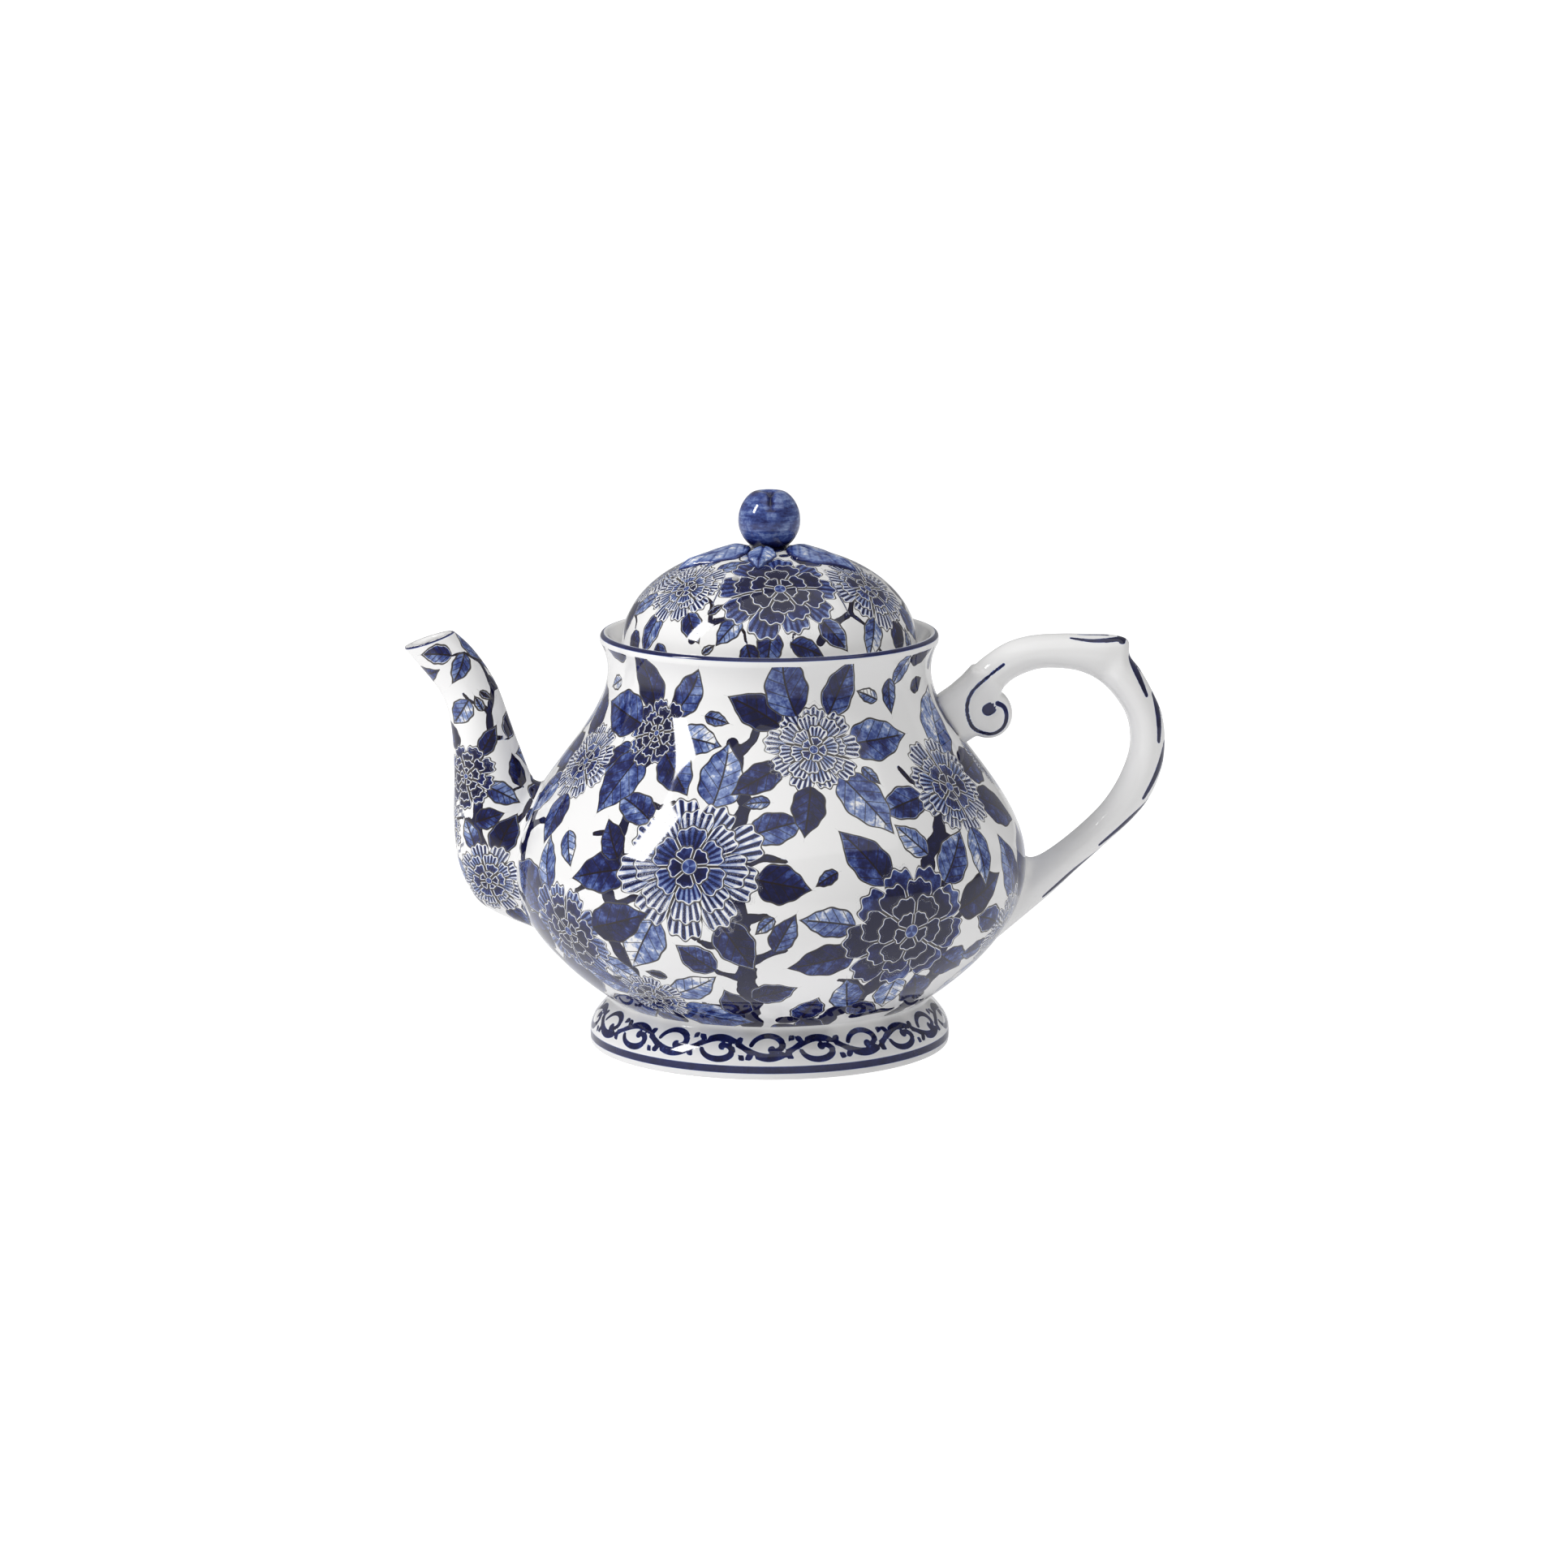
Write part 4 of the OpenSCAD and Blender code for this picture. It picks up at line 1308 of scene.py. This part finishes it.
def paint_flowers(canvas, flowers, place, spin, leaf_length):
    """Flowers, each turned by its azimuth times a spin, and then the leaves round them."""
    for azimuth, where, radius, tone in flowers:
        canvas.flower(place(azimuth, where), radius, tone, spin * azimuth % 360)
    for azimuth, where, radius, _ in flowers:
        canvas.leaves_round(place(azimuth, where), radius, 7, leaf_length)


def strainer_bores():
    """The strainer's holes: one in the middle, then rings of six and twelve."""
    z = SPOUT_ROOT[0]
    skin = -body_radius(z)
    places = [(0, z)]
    for ring in range(1, STRAINER_RINGS + 1):
        for k in range(6 * ring):
            turn, reach = radians(60 * k / ring), STRAINER_PITCH * ring
            places.append((reach * cos(turn), z + reach * sin(turn)))
    return [((skin - 4, y, up), (skin + 14, y, up), STRAINER_HOLE) for y, up in places]


def throw_body():
    bm = bmesh.new()
    turned(bm, body_outline(), BODY_SIDES)
    piece = finished(bm, "pot_body", "pot", ("body", "strainer"))
    pierced(piece, strainer_bores())
    rim_z = form().rim_height / MM

    def skin(points, normals):
        radius = for_each(points[:, 2], body_radius)
        return (np.abs(radii(points) - radius) < 0.35) & (points[:, 2] < rim_z - 1.5) & (
            points[:, 2] > form().waist_height / MM + 0.3)

    canvas = Canvas(piece, skin, paint().seed)
    for azimuth in BODY_STEMS:
        heading = canvas.rng.uniform(-0.35, 0.35) * sideways(azimuth) + (0, 0, 1)
        canvas.stem(on_body(azimuth, STEM_FOOT), heading, canvas.rng.uniform(95, 130),
                    canvas.rng.uniform(3.0, 4.0))
    for azimuth in range(10, 370, 24):         # the ground that they grow from
        canvas.stem(on_body(azimuth, GROUND_HEIGHT), sideways(azimuth) + (0, 0, 0.05),
                    canvas.rng.uniform(8, 24), canvas.rng.uniform(1.6, 2.6), twigs=False)
    canvas.mark_stems()
    paint_flowers(canvas, BODY_FLOWERS, on_body, 37.0, 22)
    canvas.leaves_on_stems(14, 22)
    canvas.loose_leaves(*BODY_LOOSE)
    radius, depth, half = RIM_LINE
    canvas.store(half - np.hypot(
        radii(canvas.points) - radius, canvas.points[:, 2] - (rim_z - depth)))
    piece.data.materials.append(glazed("Painted faience", flowers_and_branches))


VINE_BENDS = 22
VINE_RADIUS = 55.0       # of the skin, about, that places along the band are laid out on
HOOK_TURN = 5.0          # how far a hook curls, in radians
# A bend's leaves: along and up from its middle to the leaf's foot, then on to its tip.
VINE_LEAVES = ((-4.6, 2.3, -2.6, 1.8), (4.9, 1.5, 2.4, 2.2), (6.4, -2.6, 1.6, -1.9))


def vine_lines(waist_z, waist_r, foot_r):
    """The foot's scroll vine: a wave, a hook curled up in each bend and leaves beside it."""
    band_low, band_high = FOOT_EDGE + 1.4, waist_z - 1.0
    bend = 2 * pi * VINE_RADIUS / (VINE_BENDS // 2) / 2
    high = 1.32 * (band_high - band_low)       # along the bell's slope
    lines = []

    def mark(u, v, half):
        """A point of a line, from its place along the band and across it."""
        z = (band_low + band_high) / 2 + v * (band_high - band_low) / high
        t = min(max((waist_z - z) / (waist_z - FOOT_EDGE), 0), 1)
        r = waist_r + (foot_r - waist_r) * sin(pi / 2 * t)
        lines.append((r * cos(u / VINE_RADIUS), r * sin(u / VINE_RADIUS), z, half))

    for i in range(VINE_BENDS):
        side, middle = (1 if i % 2 else -1), (i + 0.5) * bend
        for k in range(40):
            t = k / 40
            mark((i + t) * bend, side * high * 0.3 * sin(pi * t), 0.85 + 0.45 * sin(pi * t))
        for k in range(80):
            t = k / 79
            turn = pi + HOOK_TURN * t
            reach = high * 0.42 * (1 - 0.62 * t ** 0.8)
            drop = 0.65 if t > 0.93 else 0
            mark(middle + 1.6 * t + reach * cos(turn) * 1.18,
                 -side * 1.1 + side * reach * sin(turn) * 0.92, 0.7 + 0.35 * sin(pi * t) + drop)
        for along, up, run, rise in VINE_LEAVES:
            for k in range(11):
                t = k / 10
                mark(middle + along + run * t, side * (up + rise * t),
                     0.15 + 0.85 * sin(pi * t ** 1.3))
    return lines


def turn_foot():
    bm = bmesh.new()
    turned(bm, foot_outline(), FOOT_SIDES, closed=True)
    piece = finished(bm, "pot_foot", "pot", ("foot",))
    f = form()
    waist_z = f.waist_height / MM
    foot_r, waist_r = f.foot_diameter / 2 / MM, f.waist_diameter / 2 / MM
    canvas = Canvas(piece, lambda points, normals: (radii(points) > waist_r + 0.5) & (
        normals[:, 2] > -0.3) & (points[:, 2] > 1), paint().seed)
    keep_values(canvas.mesh, "stem", canvas.line_field(vine_lines(waist_z, waist_r, foot_r)))
    height, half = FOOT_LINE
    edge = half - np.abs(canvas.points[:, 2] - height)
    keep_values(canvas.mesh, "border", np.where(radii(canvas.points) > foot_r - 0.7, edge, FAR))
    piece.data.materials.append(glazed("Vine painted faience", scroll_vine))


def lay_spout():
    bm = bmesh.new()
    swept(bm, spout_rings(SPOUT_SIDES), closed=True)
    piece = finished(bm, "pot_spout", "pot", ("spout",))
    mouth = np.array(spout_ring(SPOUT_STATIONS[-1], 0.2, SPOUT_SIDES))
    middles = np.array([np.mean(spout_ring(s, 0, 24), axis=0) for s in SPOUT_STATIONS])

    def skin(points, normals):
        away = points[:, None, :] - middles[None, :, :]
        nearest = away[np.arange(len(points)), (away ** 2).sum(2).argmin(1)]
        return (nearest * normals).sum(1) > 0

    canvas = Canvas(piece, skin, paint().seed + 1)
    root_x = -body_radius(SPOUT_ROOT[0])
    for y in (-20, 20):
        canvas.stem(np.array((root_x - 10, y, 46)), np.array((-0.35, 0.0, 1.0)), 80, 1.9)
        canvas.stem(np.array((root_x - 2, y, 66)), np.array((0.1, 0.0, 1.0)), 26, 1.2, twigs=False)
    canvas.mark_stems()
    for out, aside, z, radius, tone in SPOUT_FLOWERS:
        place = np.array((root_x + out, aside, z), float)
        canvas.flower(place, radius, tone)
        canvas.leaves_round(place, radius, 6, 13)
    canvas.leaves_on_stems(9, 15)
    canvas.loose_leaves(*SMALL_LOOSE)
    canvas.store(canvas.line_field([(*p, MOUTH_LINE) for p in mouth]))
    piece.data.materials.append(glazed("Painted faience", flowers_and_branches))


FUSE_VOXEL = 0.6         # what the strap and the scroll are run together in
# Strokes are places in millimetres. The spiral is across and up from the scroll's middle.
SPIRAL = (
    (4.6, 16.6), (-0.6, 12.4), (-5.4, 7.6), (-6.9, 2.2), (-5.0, -3.6), (0.4, -6.2), (4.6, -4.4),
    (6.0, -0.6), (5.2, 2.8), (2.9, 4.1))
# On each side of the spur: places from its tip, then the half-widths at both ends.
SPUR_STROKES = (
    (((-17, 4.2, 1.5), (-11, 5.4, 1), (-5, 4.8, 1), (-0.2, 1.5, 0.4)), 0.4, 1.2),
    (((-15, 1.4, 3), (-5, 1.6, 3)), 0.2, 0.45))
BACK_STROKE_RINGS = 8    # rings of the strap from one stroke on its back to the next


def pull_handle():
    bm = bmesh.new()
    swept(bm, strap_rings(STRAP_SIDES))
    swept(bm, scroll_rings())
    piece = finished(bm, "pot_handle", "pot", ("handle", "handle_scroll"))
    fuse = piece.modifiers.new("Fuse", "REMESH")
    fuse.mode, fuse.voxel_size, fuse.use_smooth_shade = "VOXEL", FUSE_VOXEL * MM, True
    ease = piece.modifiers.new("Ease", "SMOOTH")
    ease.factor, ease.iterations = 0.5, 7
    applied(piece)
    canvas = Canvas(piece, lambda points, normals: np.ones(len(points), bool), 0)
    cx, cz = scroll_middle()
    strokes = []

    def stroke(points, half_start, half_end):
        fine = [spline(points, i * (len(points) - 1) / 60) for i in range(61)]
        for i, p in enumerate(fine):
            spot, _ = canvas.touch(p)
            strokes.append((*spot, half_start + (half_end - half_start) * i / 60))

    for y in (-SCROLL_WIDTH / 2, SCROLL_WIDTH / 2):
        stroke([(cx + x, y, cz + z) for x, z in SPIRAL], 0.5, 0.8)
        stroke([(cx + 0.6, y, cz + 2.5), (cx - 0.2, y, cz + 2.0)], 1.9, 1.9)
    strap = strap_rings(STRAP_SIDES)
    spur = max((p for ring in strap for p in ring), key=lambda p: p[2] + 0.4 * p[0])
    for side in (-1, 1):
        for path, first, last in SPUR_STROKES:
            stroke([(spur[0] + x, side * y, spur[2] + z) for x, y, z in path], first, last)
    stroke([(spur[0] - 0.6, y, spur[2] + 0.3) for y in (-3.2, 0, 3.2)], 1.5, 1.5)
    back = [ring[0] for ring in strap[66:150:2]]
    for i in range(0, len(back) - BACK_STROKE_RINGS, BACK_STROKE_RINGS):
        for side in (-1, 1):
            a, b, c = (np.array(back[i + k]) for k in (0, 3, 7))
            stroke([tuple(a + (0, side * 1.5, 0)), tuple(b + (0, side * 4.9, 0)),
                    tuple(c + (-1.2, side * 6.4, 0))], 2.2, 0.6)
            stroke([tuple(a), tuple(b + (0, side * 1.2, 0))], 1.0, 0.6)
    field = canvas.line_field(strokes)
    groove = 0.22 * np.exp(-(np.minimum(field, 0) / 0.7) ** 2)
    sunk = np.where(np.abs(canvas.normals[:, 1]) > 0.6, groove, 0.0)
    sunk[radii(canvas.points - np.array((cx, 0, 0))) > 14] = 0
    sink(canvas.mesh, canvas.points, canvas.normals, sunk)
    keep_values(canvas.mesh, "border", field)
    piece.data.materials.append(glazed("White faience with strokes", brushed_strokes))


def press_lid():
    bm = bmesh.new()
    turned(bm, lid_outline(), LID_SIDES)
    piece = finished(bm, "lid_dome", "lid", ("lid",))
    azimuth, r, diameter = VENT
    spot = on_dome(azimuth, r)
    slope = unit(on_dome(azimuth, r + 0.5) - on_dome(azimuth, r - 0.5))
    out = np.cross(slope, sideways(azimuth))
    out = unit(out if out[2] > 0 else -out)
    pierced(piece, [(tuple(spot + out * 3), tuple(spot - out * 8), diameter)])

    def skin(points, normals):
        tops = for_each(radii(points), dome_top)
        return (np.abs(points[:, 2] - tops) < 0.5) & (points[:, 2] > lid_height() + 0.4)

    canvas = Canvas(piece, skin, paint().seed + 2)
    for azimuth in range(30, 390, 52):
        start = on_dome(azimuth, LID_STEM_RADIUS)
        inward = start * (1, 1, 0) / LID_STEM_RADIUS
        canvas.stem(start, unit(sideways(azimuth) * 0.5 - inward + (0, 0, 0.3)), 38, 1.3)
    canvas.mark_stems()
    paint_flowers(canvas, LID_FLOWERS, on_dome, 61.0, 14)
    canvas.leaves_on_stems(9, 15)
    canvas.loose_leaves(*SMALL_LOOSE)
    canvas.store(np.full(len(canvas.points), FAR))
    piece.data.materials.append(glazed("Painted faience", flowers_and_branches))


NOTCH_DEPTH = 1.3


def model_knob():
    """The fruit, with a crease that runs forward from its dimple."""
    bm = bmesh.new()
    turned(bm, knob_outline(), KNOB_SIDES)
    piece = finished(bm, "lid_knob", "lid", ("knob",))
    points, normals = mesh_points(piece.data)
    low, high = corner("knob", 0, 2), corner("knob", 1, 2)
    share = (points[:, 2] - low) / (high - low)
    crown = radii(points)
    notch = np.exp(-((points[:, 0] - 0.5) / 0.9) ** 2) * np.clip((share - 0.62) / 0.3, 0, 1)
    notch *= np.clip(0.75 - points[:, 1] / 3, 0, 1)
    sink(piece.data, points, normals, NOTCH_DEPTH * notch)
    # Deeper blue where glaze gathers in dimple and crease; painted shade round the fruit's base.
    fruit_base_shade, dimple = np.exp(-(share / 0.16) ** 2), np.exp(-(crown / 1.5) ** 2)
    depth = 0.4 + 0.3 * fruit_base_shade + 0.35 * dimple * (share > 0.5) + 0.4 * notch
    keep_values(piece.data, "depth", depth)
    piece.data.materials.append(glazed("Sponged blue", sponged_blue))


LEAF_START = 6.8         # how far from the axis a moulded leaf leaves the knob
LEAF_THICKNESS = 2.2
LEAVES = (               # name, length, width, azimuth, how far the tip bends aside
    ("leaf_left", 22.5, 20.0, 202, -4.0), ("leaf_right", 22.5, 20.0, 333, 3.0),
    ("leaf_front", 16.5, 10.0, 259, 1.0), ("leaf_back", 16.5, 10.0, 88, -1.0))


def moulded_leaf(name, length, width, azimuth, bend):
    """A leaf with raised sides and sunk veins, laid on the dome and turned to its azimuth."""
    bm = bmesh.new()
    bmesh.ops.create_grid(bm, x_segments=84, y_segments=44, size=1)
    made = bmesh.ops.extrude_face_region(bm, geom=bm.faces[:], use_keep_orig=True)["geom"]
    face = {g for g in made if isinstance(g, bmesh.types.BMVert)}
    places = []
    for vert in bm.verts:
        s, t = (vert.co.x + 1) / 2, vert.co.y
        outline = sin(pi * s ** 0.8) ** 0.8 * (1 - 0.25 * s) + 0.02 if 0 < s < 1 else 0.02
        outline *= 1 + 0.035 * sin(22 * s) * abs(t)
        x, y = LEAF_START + length * s, bend * s * s + t * width / 2 * outline
        rib = exp(-(t * width / 2 * outline / 0.45) ** 2)
        vein = 0.5 + 0.5 * cos(2 * pi * (s * 6.5 - abs(t) * 1.5))
        vein = vein ** 8 * min(1, 4 * abs(t)) * (1 - t ** 8)
        swell = LEAF_THICKNESS * (1 - 0.55 * t * t) * (0.75 + 0.25 * cos(2 * pi * s))
        swell *= min(1, 0.35 + 4 * min(s, 1 - s)) * (1 - t ** 14) ** 0.5
        lift = swell - 0.45 * rib - 0.25 * vein if vert in face else -0.4
        places.append(((x, y, dome_top(hypot(x, y)) + REST_GAP + max(lift, -0.4)), s, t, rib, vein))
    for vert, place in zip(bm.verts, places):
        vert.co = place[0]
    turn = Matrix.Rotation(radians(azimuth), 3, "Z")
    bmesh.ops.rotate(bm, verts=bm.verts, cent=(0, 0, 0), matrix=turn)
    # Deeper blue where glaze gathers in rib and veins; painted shade at the edges and by the fruit.
    depth = np.array([
        0.24 + 0.3 * rib + 0.16 * vein + 0.35 * max(0, abs(t) - 0.86) / 0.14
        + 0.22 * max(0, 1 - s / 0.25) for _, s, t, rib, vein in places])
    piece = finished(bm, "lid_" + name, "lid", (name,))
    keep_values(piece.data, "depth", depth)
    piece.data.materials.append(glazed("Sponged blue", sponged_blue))


# ---------------------------------------------------------------- stage, in metres

FLOOR_COLOUR = (0.82, 0.82, 0.825, 1)
WHITE = (1, 1, 1, 1)
FLOOR_HALF = 3
# Softboxes: place, aim, width and height.
TALL_WINDOW = ((-0.66, -0.31, 0.64), (-0.03, -0.06, 0.08), 0.15, 0.38)
OVERHEAD = ((0.3, -0.5, 1.6), (0, 0, 0.05), 2.2, 1.8)


def aimed(thing, place, aim):
    """Puts a camera or a lamp at a place, looking at another."""
    thing.location = place
    thing.rotation_euler = (Vector(aim) - Vector(place)).to_track_quat("-Z", "Y").to_euler()


def soft_box(name, place, aim, width, height, power):
    light = bpy.data.lights.new(name, "AREA")
    light.shape, light.size, light.size_y, light.energy = "RECTANGLE", width, height, power
    aimed(in_scene(name, light), place, aim)


def in_view(tree, seen, unseen, socket):
    """Feeds a strength that is one thing to the eye and another as a light on the teapot."""
    eye = Field(tree, node(tree, "ShaderNodeLightPath").outputs["Is Camera Ray"])
    feed(tree, maths(tree, "MULTIPLY_ADD", eye, seen - unseen, unseen), socket)


def set_stage():
    s = bpy.context.scene.teapot_stage
    aim = Vector((s.aim_x, 0, s.aim_z))
    place = aim + Vector((0, -cos(s.elevation), sin(s.elevation))) * s.distance
    camera = bpy.data.cameras.new("Camera")
    camera.lens, camera.sensor_width = s.lens, 36
    viewer = in_scene("Camera", camera)
    aimed(viewer, place, aim)
    bpy.context.scene.camera = viewer

    bm = bmesh.new()
    bmesh.ops.create_grid(bm, x_segments=1, y_segments=1, size=FLOOR_HALF)
    mesh = mesh_of(bm, "floor")
    floor = in_scene("floor", mesh)
    material = bpy.data.materials.new("Pale floor")
    material.use_nodes = True
    shader = material.node_tree.nodes["Principled BSDF"]
    shader.inputs["Base Color"].default_value = FLOOR_COLOUR
    shader.inputs["Roughness"].default_value = 0.85
    shader.inputs["Emission Color"].default_value = WHITE
    in_view(material.node_tree, s.floor_white, s.floor_glow, shader.inputs["Emission Strength"])
    shader.inputs["Specular IOR Level"].default_value = 0.1
    mesh.materials.append(material)

    world = bpy.data.worlds.new("White room")
    world.use_nodes = True
    background = world.node_tree.nodes["Background"]
    background.inputs["Color"].default_value = WHITE
    in_view(world.node_tree, s.backdrop, s.surround, background.inputs["Strength"])
    bpy.context.scene.world = world
    bpy.context.scene.view_settings.view_transform = "Standard"
    soft_box("Tall window", *TALL_WINDOW, s.key)
    soft_box("Overhead", *OVERHEAD, s.fill)


# ---------------------------------------------------------------- operators and panel

def settings_ready():
    """Stops a step that has no body in the frame to dress."""
    if "pot" not in frame["bodies"]:
        raise RuntimeError("the frame has no pot to dress")


class TEAPOT_OT_throw_body(bpy.types.Operator):
    """Throws the body with its neck, lip, ledge and strainer, and paints it"""
    bl_idname = "teapot.throw_body"
    bl_label = "Throw the body"

    def execute(self, context):
        settings_ready()
        throw_body()
        return {"FINISHED"}


class TEAPOT_OT_turn_foot(bpy.types.Operator):
    """Turns the flared foot and paints its scroll vine"""
    bl_idname = "teapot.turn_foot"
    bl_label = "Turn the foot"

    def execute(self, context):
        settings_ready()
        turn_foot()
        return {"FINISHED"}


class TEAPOT_OT_lay_spout(bpy.types.Operator):
    """Sweeps the hollow spout from the belly to its mouth and paints it"""
    bl_idname = "teapot.lay_spout"
    bl_label = "Lay the spout"

    def execute(self, context):
        settings_ready()
        lay_spout()
        return {"FINISHED"}


class TEAPOT_OT_pull_handle(bpy.types.Operator):
    """Pulls the strap with its thumb spur and scroll, and brushes its strokes"""
    bl_idname = "teapot.pull_handle"
    bl_label = "Pull the handle"

    def execute(self, context):
        settings_ready()
        pull_handle()
        return {"FINISHED"}


class TEAPOT_OT_press_lid(bpy.types.Operator):
    """Turns the domed lid with its flange and steam vent, and paints it"""
    bl_idname = "teapot.press_lid"
    bl_label = "Turn the lid"

    def execute(self, context):
        settings_ready()
        press_lid()
        return {"FINISHED"}


class TEAPOT_OT_model_fruit(bpy.types.Operator):
    """Models the fruit knob and the leaves that lie round it"""
    bl_idname = "teapot.model_fruit"
    bl_label = "Model the fruit and leaves"

    def execute(self, context):
        settings_ready()
        model_knob()
        for leaf in LEAVES:
            moulded_leaf(*leaf)
        return {"FINISHED"}


class TEAPOT_OT_set_stage(bpy.types.Operator):
    """Sets the camera, the lights, the white room and the floor"""
    bl_idname = "teapot.set_stage"
    bl_label = "Set the stage"

    def execute(self, context):
        settings_ready()
        set_stage()
        return {"FINISHED"}


STEPS = (
    "throw_body", "turn_foot", "lay_spout", "pull_handle", "press_lid", "model_fruit", "set_stage")


class TEAPOT_PT_panel(bpy.types.Panel):
    """Sizes, colours and steps of the teapot"""
    bl_idname = "TEAPOT_PT_panel"
    bl_label = "Teapot"
    bl_space_type = "VIEW_3D"
    bl_region_type = "UI"
    bl_category = "Teapot"

    def draw(self, context):
        scene = context.scene
        for group in (scene.teapot_form, scene.teapot_paint, scene.teapot_stage):
            box = self.layout.box()
            for name in group.bl_rna.properties.keys():
                if name not in {"rna_type", "name"}:
                    box.prop(group, name)
        for step in STEPS:
            self.layout.operator("teapot." + step)


CLASSES = (
    TeapotForm, TeapotPaint, TeapotStage, TEAPOT_OT_throw_body, TEAPOT_OT_turn_foot,
    TEAPOT_OT_lay_spout, TEAPOT_OT_pull_handle, TEAPOT_OT_press_lid, TEAPOT_OT_model_fruit,
    TEAPOT_OT_set_stage, TEAPOT_PT_panel)


def register():
    for cls in CLASSES:
        bpy.utils.register_class(cls)
    bpy.types.Scene.teapot_form = bpy.props.PointerProperty(type=TeapotForm)
    bpy.types.Scene.teapot_paint = bpy.props.PointerProperty(type=TeapotPaint)
    bpy.types.Scene.teapot_stage = bpy.props.PointerProperty(type=TeapotStage)


def unregister():
    del bpy.types.Scene.teapot_stage
    del bpy.types.Scene.teapot_paint
    del bpy.types.Scene.teapot_form
    for cls in reversed(CLASSES):
        bpy.utils.unregister_class(cls)


def main():
    register()
    for step in STEPS:
        getattr(bpy.ops.teapot, step)()


if __name__ == "__main__":
    main()
